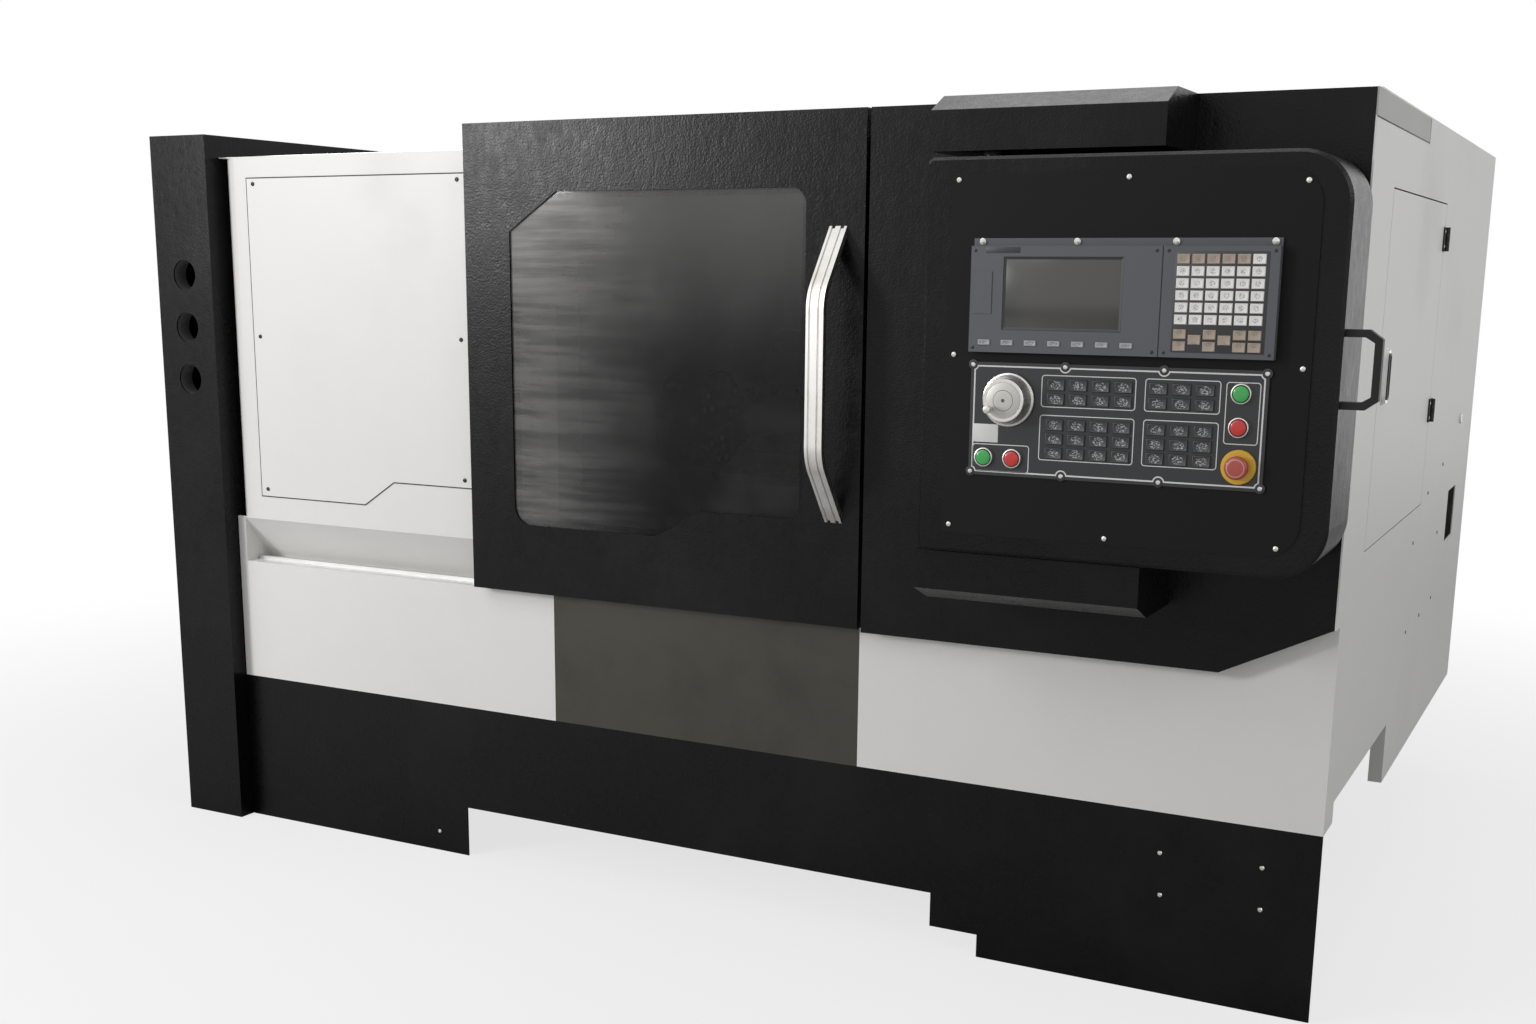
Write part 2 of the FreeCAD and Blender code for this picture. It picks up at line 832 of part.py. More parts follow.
def side_cover():
    """White right-hand sheet with a hatch opening, stepped down at the leg behind it."""
    body = new_body("side_cover")
    cap_low = s.machine_height - s.cap_height
    low_front = s.apron_top + s.cabinet_slope_rise
    extrude(body, "YZ", s.machine_width - s.sheet, s.sheet,
            [(-s.cabinet_proud, low_front), (0, low_front), (0, right_apron_top),
             (s.corner_return, right_apron_top), (s.corner_return, s.side_lift),
             (s.side_leg_front, s.side_lift), (s.side_leg_front, s.rear_lift),
             (s.housing_depth, s.rear_lift), (s.housing_depth, s.machine_height - s.sheet),
             (s.cap_depth, s.machine_height - s.sheet), (s.cap_depth, cap_low),
             (-s.cabinet_proud, cap_low)])
    cut(body, "YZ", s.machine_width - s.sheet, s.sheet,
        rectangle(s.hatch_front - s.hatch_gap, s.hatch_front + s.hatch_width + s.hatch_gap,
                  s.hatch_bottom - s.hatch_gap, hatch_high + s.hatch_gap))
    inner = s.machine_width - s.sheet
    extrude(body, "YZ", inner - s.leg_flange, s.leg_flange,
            rectangle(s.side_leg_front, s.side_leg_front + s.sheet, s.rear_lift, s.side_lift))
    place(body)


def side_cap():
    """Grey strip along the top of the right side."""
    body = new_body("side_cap")
    extrude(body, "YZ", s.machine_width - s.sheet, s.sheet,
            rectangle(-s.cabinet_proud, s.cap_depth, s.machine_height - s.cap_height,
                      s.machine_height - s.sheet))
    place(body)


def top_cover():
    """Roof in two levels, with a riser at the cabinet and a front edge over the door opening."""
    body = new_body("top_cover")
    high = s.machine_height - s.sheet
    riser = cabinet_left - s.sheet
    extrude(body, "XZ", 0, s.housing_depth,
            [(cover_left, roof_under), (riser + s.sheet, roof_under), (riser + s.sheet, high),
             (s.machine_width, high), (s.machine_width, s.machine_height),
             (riser, s.machine_height), (riser, cover_top), (cover_left, cover_top)])
    extrude(body, "XZ", 0, s.sheet,
            rectangle(cover_right, cabinet_left, roof_under - s.cover_edge_radius, roof_under))
    place(body)


def rear_enclosure():
    """White rear shell for the electrical gear, with a cable inlet and a lock in its right side."""
    body = new_body("rear_enclosure")
    inner = s.machine_width - s.sheet
    extrude(body, "XZ", s.housing_depth, s.machine_depth - s.housing_depth,
            rectangle(0, s.machine_width, s.rear_lift, s.machine_height))
    cut(body, "XZ", s.housing_depth, s.machine_depth - s.housing_depth - s.sheet,
        rectangle(s.sheet, inner, s.rear_lift, s.machine_height - s.sheet))
    extrude(body, "XY", s.rear_lift, s.sheet,
            rectangle(s.sheet, inner, s.base_rear + s.joint_gap, s.machine_depth - s.sheet))
    cut(body, "YZ", inner, s.sheet,
        rectangle(s.inlet_front, s.inlet_front + s.inlet_width, s.inlet_bottom,
                  s.inlet_bottom + s.inlet_height))
    extrude(body, "YZ", s.machine_width, s.lock_rise,
            Hole(s.lock_setback, s.lock_height, s.lock_radius))
    place(body)


# ---------------------------------------------------------------- side hatch

hatch_rear = s.hatch_front + s.hatch_width
hinge_line = hatch_rear + s.hatch_gap / 2
hinge_out = s.machine_width + s.knuckle_radius
hinge_heights = (s.hatch_bottom + s.hinge_low_up, hatch_high - s.hinge_high_down)
latch_height = s.hatch_bottom + s.latch_up
knuckle_third = s.hinge_height / 3


def side_hatch():
    """White hatch with folded edges, its hinge leaves with their middle knuckles, and a lock seat."""
    body = new_body("side_hatch")
    outside = s.machine_width
    extrude(body, "YZ", outside - s.hatch_fold, s.hatch_fold,
            rectangle(s.hatch_front, hatch_rear, s.hatch_bottom, hatch_high))
    cut(body, "YZ", outside - s.hatch_fold, s.hatch_fold - s.sheet,
        rectangle(s.hatch_front + s.sheet, hatch_rear - s.sheet,
                  s.hatch_bottom + s.sheet, hatch_high - s.sheet))
    for height in hinge_heights:
        low = height - s.hinge_height / 2
        middle = low + knuckle_third + s.slide_gap
        length = knuckle_third - s.slide_gap * 2
        leaf_end = hinge_line - s.knuckle_radius - s.slide_gap
        extrude(body, "YZ", outside, s.hinge_thickness,
                rectangle(hatch_rear - s.hinge_leaf, leaf_end, low, low + s.hinge_height))
        extrude(body, "YZ", outside, s.hinge_thickness,
                rectangle(leaf_end, hinge_line, middle, middle + length))
        extrude(body, "XY", middle, length, Hole(hinge_out, hinge_line, s.knuckle_radius))
        cut(body, "XY", middle, length, Hole(hinge_out, hinge_line, s.hinge_pin_radius + s.fit_gap))
    cut(body, "YZ", outside - s.sheet, s.sheet,
        Hole(s.latch_front, latch_height, s.latch_pin_radius + s.fit_gap))
    place(body)


def hatch_hinges():
    """The fixed leaf, outer knuckles and pin of each hatch hinge."""
    hinges = []
    for i, height in enumerate(hinge_heights):
        low = height - s.hinge_height / 2
        leaf_start = hinge_line + s.knuckle_radius + s.slide_gap
        thickness = (s.machine_width, s.machine_width + s.hinge_thickness)
        members = [
            block(f"fixed_leaf_{i}", thickness,
                  (leaf_start, hatch_rear + s.hatch_gap + s.hinge_leaf),
                  (low, low + s.hinge_height)),
            rod(f"hinge_pin_{i}", s.hinge_pin_radius, s.hinge_height,
                (hinge_out, hinge_line, low), "z"),
        ]
        for j in range(2):
            end = low + knuckle_third * 2 * j
            members.append(rod(f"outer_knuckle_{i}_{j}", s.knuckle_radius, knuckle_third,
                               (hinge_out, hinge_line, end), "z"))
            members.append(block(f"knuckle_tab_{i}_{j}", thickness, (hinge_line, leaf_start),
                                 (end, end + knuckle_third)))
        hinges.append(fuse(f"hinge_{i}", members))
    place(group("hatch_hinges", hinges))


def hatch_latch():
    """Oval swing lever on the hatch, its round shank through the sheet, and the cam behind."""
    body = new_body("hatch_latch")
    half = s.latch_width / 2
    reach = s.latch_length / 2
    extrude(body, "YZ", s.slide_gap, s.latch_thickness,
            [(-half, -reach, half * 0.9), (half, -reach, half * 0.9),
             (half, reach, half * 0.9), (-half, reach, half * 0.9)])
    extrude(body, "YZ", -(s.sheet * 2 + s.slide_gap), s.sheet * 2 + s.slide_gap * 2,
            Hole(0, 0, s.latch_pin_radius))
    extrude(body, "YZ", -(s.sheet * 3 + s.slide_gap), s.sheet * 2,
            rectangle(-half / 2, half / 2, -reach / 2, s.latch_pin_radius))
    place(body, s.machine_width, s.latch_front, latch_height)


# ---------------------------------------------------------------- sliding door

window_left = door_left + s.window_inset
window_right = window_left + s.window_width
window_high = door_high - s.window_top_margin


def sliding_door():
    """Black pan with a window opening: sloped top left corner and a step in its lower edge."""
    body = new_body("sliding_door")
    extrude(body, "XZ", -s.door_face, s.door_thickness,
            rectangle(door_left, door_right, door_bottom, door_high))
    cut(body, "XZ", s.door_skin - s.door_face, s.door_thickness - s.door_skin,
        rectangle(door_left + s.door_wall, door_right - s.door_wall,
                  door_bottom + s.door_wall, door_high - s.door_wall))
    step = window_left + s.window_step_left
    step_high = s.window_bottom + s.window_step_height
    cut(body, "XZ", -s.door_face, s.door_skin,
        [(window_left, s.window_bottom, s.window_foot_radius), (step, s.window_bottom),
         (step + s.window_step_run, step_high), (window_right, step_high, s.window_corner_radius),
         (window_right, window_high, s.window_corner_radius),
         (window_left + s.window_chamfer_run, window_high),
         (window_left, window_high - s.window_chamfer_drop)])
    place(body)


def window_glass():
    """Laminated pane behind the door's front sheet."""
    body = new_body("window_glass")
    edge = s.glass_overlap
    extrude(body, "XZ", s.door_skin - s.door_face, s.glass_thickness,
            rectangle(window_left - edge, window_right + edge, s.window_bottom - edge,
                      window_high + edge, edge / 2))
    place(body)


def window_retainer():
    """Frame that clamps the pane from behind."""
    body = new_body("window_retainer")
    edge = s.glass_overlap
    reach = s.retainer_width - edge
    back = s.door_skin + s.glass_thickness - s.door_face
    extrude(body, "XZ", back, s.retainer_thickness,
            rectangle(window_left - edge, window_right + edge, s.window_bottom - edge,
                      window_high + edge, edge / 2),
            rectangle(window_left + reach, window_right - reach, s.window_bottom + reach,
                      window_high - reach, edge / 2))
    place(body)


def handle_profile(extra):
    """Side view of the bow handle; extra thickens it outwards. Coordinates are (y, z)."""
    face = -s.door_face
    reach = s.handle_reach
    low, high = s.handle_bottom, door_high - s.handle_top_margin
    slant_length = root(reach * reach + s.handle_leg * s.handle_leg)
    bend = (slant_length - s.handle_leg) / reach
    foot = slant_length / reach
    inside = s.handle_thickness
    return [
        (face, low - foot * extra), (face, low + foot * inside),
        (face - reach + inside, low + s.handle_leg + bend * inside, s.handle_bend - inside),
        (face - reach + inside, high - s.handle_leg - bend * inside, s.handle_bend - inside),
        (face, high - foot * inside), (face, high + foot * extra),
        (face - reach - extra, high - s.handle_leg + bend * extra, s.handle_bend + extra),
        (face - reach - extra, low + s.handle_leg - bend * extra, s.handle_bend + extra),
    ]


def door_handle():
    """Bright bow handle of flat bar with raised ribs along both edges and the middle."""
    body = new_body("door_handle")
    left = door_right - s.handle_inset - s.handle_width / 2
    extrude(body, "YZ", left, s.handle_width, handle_profile(as_size(0)))
    rib = s.handle_width / 5
    for i in (0, 2, 4):
        extrude(body, "YZ", left + rib * i, rib, handle_profile(s.handle_rib))
    place(body)


track_left = cover_left + s.cheek_width + s.track_gap
track_right = cabinet_left - s.track_margin


def door_tracks():
    """Flat bar on the roof that the door hangs on, and the low rail that guides its foot."""
    upper = block("upper_track", (track_left, track_right),
                  (s.top_track_setback, s.top_track_setback + s.track_width),
                  (cover_top, cover_top + s.track_height))
    lower = block("lower_track", (track_left, track_right),
                  (s.low_track_setback, s.low_track_setback + s.low_track_width),
                  (s.apron_top, s.apron_top + s.track_height))
    place(group("door_tracks", [upper, lower]))


def channel_shoe(label, left, front, width, floor, rise):
    """Shoe block with a groove that straddles a track."""
    gap = s.slide_gap
    outer = block(f"{label}_block", (left, left + s.hanger_width),
                  (front - s.shoe_wall, front + width + s.shoe_wall), (floor + gap, floor + rise))
    groove = block(f"{label}_groove", (left - 1, left + s.hanger_width + 1),
                   (front - gap, front + width + gap), (floor, floor + s.track_height + gap))
    return subtract(label, outer, groove)


def door_hangers():
    """Brackets behind the door: two over the roof and two at its foot, each with its shoe."""
    hangers = []
    bar = s.hanger_thickness
    lefts = (door_left + s.hanger_inset, door_right - s.hanger_inset - s.hanger_width)
    roof_rise = s.track_height + s.shoe_wall
    for i, left in enumerate(lefts):
        right = left + s.hanger_width
        bar_low = cover_top + roof_rise
        arm = block(f"roof_arm_{i}", (left, right),
                    (door_back, s.top_track_setback + s.track_width + s.shoe_wall),
                    (bar_low, bar_low + bar))
        leg = block(f"roof_leg_{i}", (left, right), (door_back, door_back + bar),
                    (bar_low, door_high))
        shoe = channel_shoe(f"roof_shoe_{i}", left, s.top_track_setback, s.track_width,
                            cover_top, roof_rise)
        hangers.append(fuse(f"roof_hanger_{i}", [arm, leg, shoe]))
        foot_low = s.apron_top + roof_rise
        foot_arm = block(f"foot_arm_{i}", (left, right),
                         (door_back, s.low_track_setback + s.low_track_width + s.shoe_wall),
                         (foot_low, foot_low + bar))
        foot_leg = block(f"foot_leg_{i}", (left, right), (door_back, door_back + bar),
                         (door_bottom, foot_low + bar))
        foot_shoe = channel_shoe(f"foot_shoe_{i}", left, s.low_track_setback, s.low_track_width,
                                 s.apron_top, roof_rise)
        hangers.append(fuse(f"foot_hanger_{i}", [foot_arm, foot_leg, foot_shoe]))
    place(group("door_hangers", hangers))


# ---------------------------------------------------------------- control box and what carries it

pivot_x = box_left + s.pivot_inset
pivot_y = s.pivot_setback - s.box_front
face_left = box_left + s.face_left_margin
face_right = box_right - s.face_right_margin
face_low = box_bottom + s.face_low_margin
face_high = box_top - s.face_top_margin
box_round = s.box_corner_radius
box_tight = s.box_small_radius
display_left = box_left + s.display_inset
display_right = display_left + s.display_width
display_bottom = box_bottom + s.display_up
display_top = display_bottom + s.display_height
panel_left = box_left + s.panel_inset
panel_right = panel_left + s.panel_width
panel_bottom = box_bottom + s.panel_up
panel_top = panel_bottom + s.panel_height


def face_outline(inset):
    """Outline of the control box's front plate, or of the opening that it closes."""
    large = box_round - s.face_top_margin - inset
    small = s.box_small_radius / 2
    return [(face_left + inset, face_low + inset, small),
            (face_right - inset, face_low + inset, large),
            (face_right - inset, face_high - inset, large),
            (face_left + inset, face_high - inset, small)]


def control_box():
    """Black box open at its face, rounded at the right, with pivot pins above and below."""
    body = new_body("control_box")
    extrude(body, "XZ", -s.box_front, s.box_depth,
            [(box_left, box_bottom, box_tight), (box_right, box_bottom, box_round),
             (box_right, box_top, box_round), (box_left, box_top, box_tight)])
    front = -s.box_front.value
    soften(body, "Chamfer", s.box_edge, lambda edge: lies_at(edge, "Y", front))
    cut(body, "XZ", -s.box_front, s.box_depth - s.box_wall, face_outline(s.face_rim))
    lower_pin = s.bracket_gap + s.cabinet_sheet * 3
    upper_pin = hood_bottom - box_top + s.cabinet_sheet * 2
    collar = s.bracket_gap - s.slide_gap
    for low, height, radius in (
            (box_bottom - lower_pin, lower_pin, s.pivot_radius),
            (box_bottom - collar, collar, s.collar_radius),
            (box_top, upper_pin, s.pivot_radius),
            (box_top, collar, s.collar_radius)):
        extrude(body, "XY", low, height, Hole(pivot_x, pivot_y, radius))
    place(body)


def front_plate():
    """Face plate of the control box, cut out for the display unit and the operator panel."""
    body = new_body("front_plate")
    edge = s.display_margin
    extrude(body, "XZ", -face_front, s.face_thickness, face_outline(as_size(0)))
    cut(body, "XZ", -face_front, s.face_thickness,
        rectangle(display_left + edge, display_right - edge,
                  display_bottom + edge, display_top - edge))
    edge = s.panel_margin
    cut(body, "XZ", -face_front, s.face_thickness,
        rectangle(panel_left + edge, panel_right - edge, panel_bottom + edge, panel_top - edge))
    place(body)


hood_left = box_left - s.hood_overhang
hood_right = hood_left + s.hood_width


def upper_hood():
    """Black hood over the control box, its top sloped back, with the upper pivot hole."""
    body = new_body("upper_hood")
    face_top = hood_bottom + s.hood_face_height
    top = s.machine_height - s.sheet
    wall = s.cabinet_sheet
    extrude(body, "YZ", hood_left, s.hood_width,
            [(-s.hood_proud, hood_bottom), (-s.cabinet_proud, hood_bottom),
             (-s.cabinet_proud, top), (s.hood_slope - s.hood_proud, top),
             (-s.hood_proud, face_top)])
    cut(body, "XZ", wall - s.hood_proud, s.hood_proud - s.cabinet_proud - wall,
        rectangle(hood_left + wall, hood_right - wall, hood_bottom + wall * 2,
                  face_top - wall))
    cut(body, "XY", hood_bottom, wall * 2, Hole(pivot_x, pivot_y, s.pivot_radius + s.fit_gap))
    place(body)


def lower_bracket():
    """Black bracket under the control box, bevelled below, with the lower pivot hole."""
    body = new_body("lower_bracket")
    top = box_bottom - s.bracket_gap
    wall = s.cabinet_sheet
    face_low_edge = top - s.bracket_face_height
    bottom = face_low_edge - s.bracket_bevel_drop
    extrude(body, "YZ", hood_left, s.hood_width,
            [(-s.bracket_proud, face_low_edge), (s.bracket_bevel - s.bracket_proud, bottom),
             (-s.cabinet_proud, bottom), (-s.cabinet_proud, top), (-s.bracket_proud, top)])
    cut(body, "XZ", wall - s.bracket_proud, s.bracket_proud - s.cabinet_proud - wall,
        rectangle(hood_left + wall, hood_right - wall, face_low_edge + wall, top - wall * 2))
    cut(body, "XY", top - wall * 2, wall * 2,
        Hole(pivot_x, pivot_y, s.pivot_radius + s.fit_gap))
    place(body)


def pull_handle():
    """Black bow grip on the right side of the control box, its two corners cut off."""
    body = new_body("pull_handle")
    low = box_bottom + s.pull_up
    high = low + s.pull_height
    tip = box_right + s.pull_reach
    across, up = s.pull_slant_across, s.pull_slant_up
    bar = s.pull_bar
    bend = bar / 2
    extrude(body, "XZ", s.pull_setback - s.box_front, s.pull_depth,
            [(box_right, low), (tip - across, low), (tip, low + up), (tip, high - up),
             (tip - across, high), (box_right, high), (box_right, high - bar),
             (tip - across - bend, high - bar), (tip - bar, high - up - bend),
             (tip - bar, low + up + bend), (tip - across - bend, low + bar),
             (box_right, low + bar)])
    place(body)


def key_field(body, left, bottom, columns, rows, pitch, size, face, rise):
    """A field of raised keys as one pad; left and bottom give the first key's centre."""
    keys = []
    for column in range(columns):
        for row in range(rows):
            x = left + pitch[0] * column
            z = bottom + pitch[1] * row
            keys.append(rectangle(x - size[0] / 2, x + size[0] / 2, z - size[1] / 2,
                                  z + size[1] / 2))
    extrude(body, "XZ", -face - rise, rise, *keys)


def display_unit():
    """Grey-blue display unit: flange, card door, screen recess, soft keys and the keypad."""
    body = new_body("display_unit")
    left, low = display_left, display_bottom
    front = face_front + s.display_thickness
    extrude(body, "XZ", -front, s.display_thickness,
            rectangle(left, display_right, low, display_top - s.flange_height))
    extrude(body, "XZ", -(face_front + s.flange_thickness), s.flange_thickness,
            rectangle(left, display_right, display_top - s.flange_height, display_top))
    edge = s.display_margin + s.joint_gap
    extrude(body, "XZ", -face_front, s.display_back,
            rectangle(left + edge, display_right - edge, low + edge, display_top - edge))
    extrude(body, "XZ", -front - s.card_door_rise, s.card_door_rise,
            rectangle(left + s.card_door_left, left + s.card_door_left + s.card_door_width,
                      low + s.card_door_up, low + s.card_door_up + s.card_door_height))
    cut(body, "XZ", -front, s.screen_recess,
        rectangle(left + s.screen_left, left + s.screen_left + s.screen_width,
                  low + s.screen_bottom, low + s.screen_bottom + s.screen_height))
    cut(body, "XZ", -front, s.screen_recess / 2,
        rectangle(left + s.split_left, left + s.split_left + s.split_width,
                  low, display_top - s.flange_height))
    key_size = (s.key_width, s.key_height)
    key_pitch = (s.key_pitch_across, s.key_pitch_up)
    key_field(body, left + s.keypad_left, low + s.keypad_up, 6, 6, key_pitch, key_size, front,
              s.key_rise)
    key_field(body, left + s.soft_key_left, low + s.soft_key_up, 7, 1,
              (s.soft_key_pitch, s.key_pitch_up), (s.soft_key_width, s.soft_key_height), front,
              s.key_rise)
    for column in (0, 2, 4, 5):
        key_field(body, left + s.keypad_left + s.key_pitch_across * column, low + s.menu_key_up,
                  1, 2, key_pitch, key_size, front, s.key_rise)
    key_field(body, left + s.keypad_left + s.key_pitch_across, low + s.cursor_key_up, 2, 1,
              (s.key_pitch_across * 2, s.key_pitch_up), key_size, front, s.key_rise)
    place(body)


# ---------------------------------------------------------------- operator panel and its controls

def on_panel(across, up):
    """A point on the operator panel, counted from its lower left corner."""
    return panel_left + across, panel_bottom + up


start_at = on_panel(s.start_across, s.start_up)
stop_at = on_panel(s.stop_across, s.stop_up)
power_on_at = on_panel(s.power_on_across, s.power_up)
power_off_at = on_panel(s.power_off_across, s.power_up)
emergency_at = on_panel(s.emergency_across, s.emergency_up)
wheel_at = on_panel(s.wheel_across, s.wheel_up)
push_buttons_at = (start_at, stop_at, power_on_at, power_off_at)


def operator_panel():
    """Black panel with four fields of keys, bezels round the buttons and a stop ring."""
    body = new_body("operator_panel")
    extrude(body, "XZ", -panel_front, s.panel_thickness,
            rectangle(panel_left, panel_right, panel_bottom, panel_top))
    for across, up in push_buttons_at:
        extrude(body, "XZ", -panel_front - s.bezel_rise, s.bezel_rise,
                Hole(across, up, s.bezel_radius))
        cut(body, "XZ", -panel_front - s.bezel_rise, s.bezel_rise + s.panel_thickness,
            Hole(across, up, s.cap_radius + s.slide_gap))
    extrude(body, "XZ", -panel_front - s.bezel_rise, s.bezel_rise,
            Hole(*emergency_at, s.stop_ring_radius))
    cut(body, "XZ", -panel_front - s.bezel_rise, s.bezel_rise + s.panel_thickness,
        Hole(*emergency_at, s.mushroom_stem_radius + s.fit_gap))
    cut(body, "XZ", -panel_front, s.panel_thickness,
        Hole(*wheel_at, s.wheel_shaft_radius + s.fit_gap))
    pitch = (s.panel_key_pitch_across, s.panel_key_pitch_up)
    size = (s.panel_key_width, s.panel_key_height)
    for left, columns in ((s.group_left, 4), (s.second_group_left, 3)):
        for up, rows in ((s.lower_keys_up, 3), (s.upper_keys_up, 2)):
            across, height = on_panel(left, up)
            key_field(body, across, height, columns, rows, pitch, size, panel_front, s.key_rise)
    place(body)


def push_button(label, at):
    """A straight cap that slides in its bezel and through the panel."""
    body = new_body(label)
    extrude(body, "XZ", -s.cap_rise, s.cap_rise + s.button_stem, Hole(0, 0, s.cap_radius))
    across, up = at
    place(body, across, -panel_front, up)


def emergency_stop():
    """Mushroom-headed stop button: a wide head on a stem that slides in the panel."""
    body = new_body("emergency_stop")
    radius, stem, top = s.mushroom_radius, s.mushroom_stem_radius, -s.mushroom_rise
    turn(body, "XY", "V_Axis",
         [(0, top), (radius, top), (radius, top + s.mushroom_head),
          (stem, top + s.mushroom_head), (stem, s.button_stem), (0, s.button_stem)])
    across, up = emergency_at
    place(body, across, -panel_front, up)


def handwheel():
    """Pulse dial: a thick disc, a crank knob on its face and the shaft behind."""
    body = new_body("handwheel")
    turn(body, "XY", "V_Axis",
         [(0, -s.wheel_rise), (s.wheel_radius, -s.wheel_rise), (s.wheel_radius, -s.slide_gap),
          (s.wheel_shaft_radius, -s.slide_gap),
          (s.wheel_shaft_radius, s.button_stem), (0, s.button_stem)])
    extrude(body, "XZ", -(s.wheel_rise + s.crank_length), s.crank_length,
            Hole(-s.crank_across, -s.crank_down, s.crank_radius))
    across, up = wheel_at
    place(body, across, -panel_front, up)


# ---------------------------------------------------------------- bed, headstock, spindle and chuck

def on_slant(along, off):
    """A point counted from the spindle axis up the bed's slope and square to it, as (y, z)."""
    up, out = sine(s.slant), cosine(s.slant)
    return (s.spindle_setback + along * out - off * up,
            s.spindle_height + along * up + off * out)


bed_low_edge = on_slant(-s.bed_low, -s.bed_drop)
bed_high_edge = on_slant(s.bed_high, -s.bed_drop)
shelf_height = bed_high_edge[1]


def bed_casting():
    """Cast base with a 45 degree bed on top and a shelf behind it for the spindle motor."""
    body = new_body("bed_casting")
    extrude(body, "YZ", bed_left, bed_length,
            [(s.base_front, s.base_clearance), (s.base_tail, s.base_clearance),
             (s.base_tail, s.rear_lift), (s.base_rear, s.rear_lift),
             (s.base_rear, s.base_back_height),
             (bed_high_edge[0] + s.base_shelf, shelf_height), bed_high_edge, bed_low_edge,
             (s.base_nose, s.base_chin), (s.base_nose, s.base_step),
             (s.base_front, s.base_step)])
    place(body)


def levelling_feet():
    """Six square pads on hexagonal jack screws that carry the casting."""
    feet = []
    reach = (bed_length - s.pad_inset * 2) / 2
    for i in range(3):
        x = bed_left + s.pad_inset + reach * i
        for j, y in enumerate((s.base_front + s.pad_setback, s.base_tail - s.pad_setback)):
            half = s.pad_size / 2
            pad = block(f"pad_{i}_{j}", (x - half, x + half), (y - half, y + half),
                        (0, s.pad_thickness))
            jack = doc.addObject("Part::Prism", f"jack_{i}_{j}")
            jack.Polygon = 6
            bind(jack, "Circumradius", s.jack_radius)
            bind(jack, "Height", s.base_clearance)
            bind(jack, "Placement.Base.x", x)
            bind(jack, "Placement.Base.y", y)
            feet.append(fuse(f"foot_{i}_{j}", [pad, jack]))
    place(group("levelling_feet", feet))


def headstock():
    """Cast housing on the bed's left end, bored for the spindle."""
    body = new_body("headstock")
    shoulder = s.headstock_shoulder
    extrude(body, "YZ", headstock_left, s.headstock_length,
            [(-s.headstock_low, -s.bed_drop), (s.headstock_high, -s.bed_drop),
             (s.headstock_high, s.headstock_edge), (s.headstock_high - shoulder, s.headstock_top),
             (shoulder - s.headstock_low, s.headstock_top), (-s.headstock_low, s.headstock_edge)])
    cut(body, "YZ", headstock_left, s.headstock_length,
        Hole(0, 0, s.spindle_radius + s.fit_gap))
    place_on_slant(body)


def spindle():
    """Hollow spindle with the nose flange that carries the chuck."""
    body = new_body("spindle")
    turn(body, "XY", "H_Axis",
         [(spindle_left, s.spindle_bore), (chuck_left, s.spindle_bore),
          (chuck_left, s.nose_radius), (nose_left, s.nose_radius),
          (nose_left, s.spindle_radius), (spindle_left, s.spindle_radius)])
    place(body, 0, s.spindle_setback, s.spindle_height)


def chuck_body():
    """Three-jaw power chuck with T-shaped slots for its jaws."""
    body = new_body("chuck_body")
    turn(body, "XY", "H_Axis",
         [(chuck_left, s.spindle_bore), (chuck_face, s.spindle_bore),
          (chuck_face, s.chuck_radius - s.chuck_edge),
          (chuck_face - s.chuck_edge, s.chuck_radius), (chuck_left, s.chuck_radius)])
    neck = s.jaw_neck / 2 + s.fit_gap
    wide = s.jaw_width / 2 + s.fit_gap
    deep = s.jaw_slot_depth + s.fit_gap
    foot = s.jaw_slot_depth - s.jaw_foot - s.fit_gap
    cut(body, "XY", 0, s.chuck_radius,
        [(chuck_face - deep, -wide), (chuck_face - foot, -wide), (chuck_face - foot, -neck),
         (chuck_face, -neck), (chuck_face, neck), (chuck_face - foot, neck),
         (chuck_face - foot, wide), (chuck_face - deep, wide)])
    slot = body.Tip
    pattern = body.newObject("PartDesign::PolarPattern", "chuck_slots")
    pattern.Originals = [slot]
    pattern.Axis = (origin_part(body, "X_Axis"), [""])
    pattern.Angle = 360
    body.Tip = pattern
    pattern.Occurrences = 3
    place(body, 0, s.spindle_setback, s.spindle_height)


def chuck_jaw(number):
    """Stepped jaw with a T-shaped foot in its slot."""
    body = new_body(f"chuck_jaw_{number}")
    outer = s.jaw_inner + s.jaw_length
    slot = chuck_face - s.jaw_slot_depth
    extrude(body, "XY", s.jaw_inner, s.jaw_length,
            rectangle(slot, slot + s.jaw_foot, -s.jaw_width / 2, s.jaw_width / 2))
    extrude(body, "XY", s.jaw_inner, s.jaw_length,
            rectangle(slot, chuck_face + s.slide_gap, -s.jaw_neck / 2, s.jaw_neck / 2))
    for i in range(3):
        extrude(body, "XY", s.jaw_inner, outer - s.jaw_step * i - s.jaw_inner,
                rectangle(chuck_face + s.slide_gap, chuck_face + s.jaw_rise * (i + 1),
                          -s.jaw_width / 2, s.jaw_width / 2))
    place(body, 0, s.spindle_setback, s.spindle_height, about=(1, 0, 0), angle=120 * (number - 1))


def belt_pulley(label, radius, bore, x, y, z, shaft_length=None):
    """Flat belt pulley; with a shaft length it has its own shaft."""
    body = new_body(label)
    turn(body, "XY", "H_Axis",
         [(0, bore), (s.pulley_width, bore), (s.pulley_width, radius), (0, radius)])
    if shaft_length is not None:
        extrude(body, "YZ", 0, shaft_length, Hole(0, 0, bore))
    place(body, x, y, z)


motor_y = bed_high_edge[0] + s.base_shelf / 2
motor_z = shelf_height + s.motor_foot + s.motor_size / 2
motor_left = headstock_left + s.motor_inset
motor_run = motor_left - pulley_left


def spindle_pulley():
    belt_pulley("spindle_pulley", s.spindle_pulley_radius, s.spindle_radius, pulley_left,
                   s.spindle_setback, s.spindle_height)


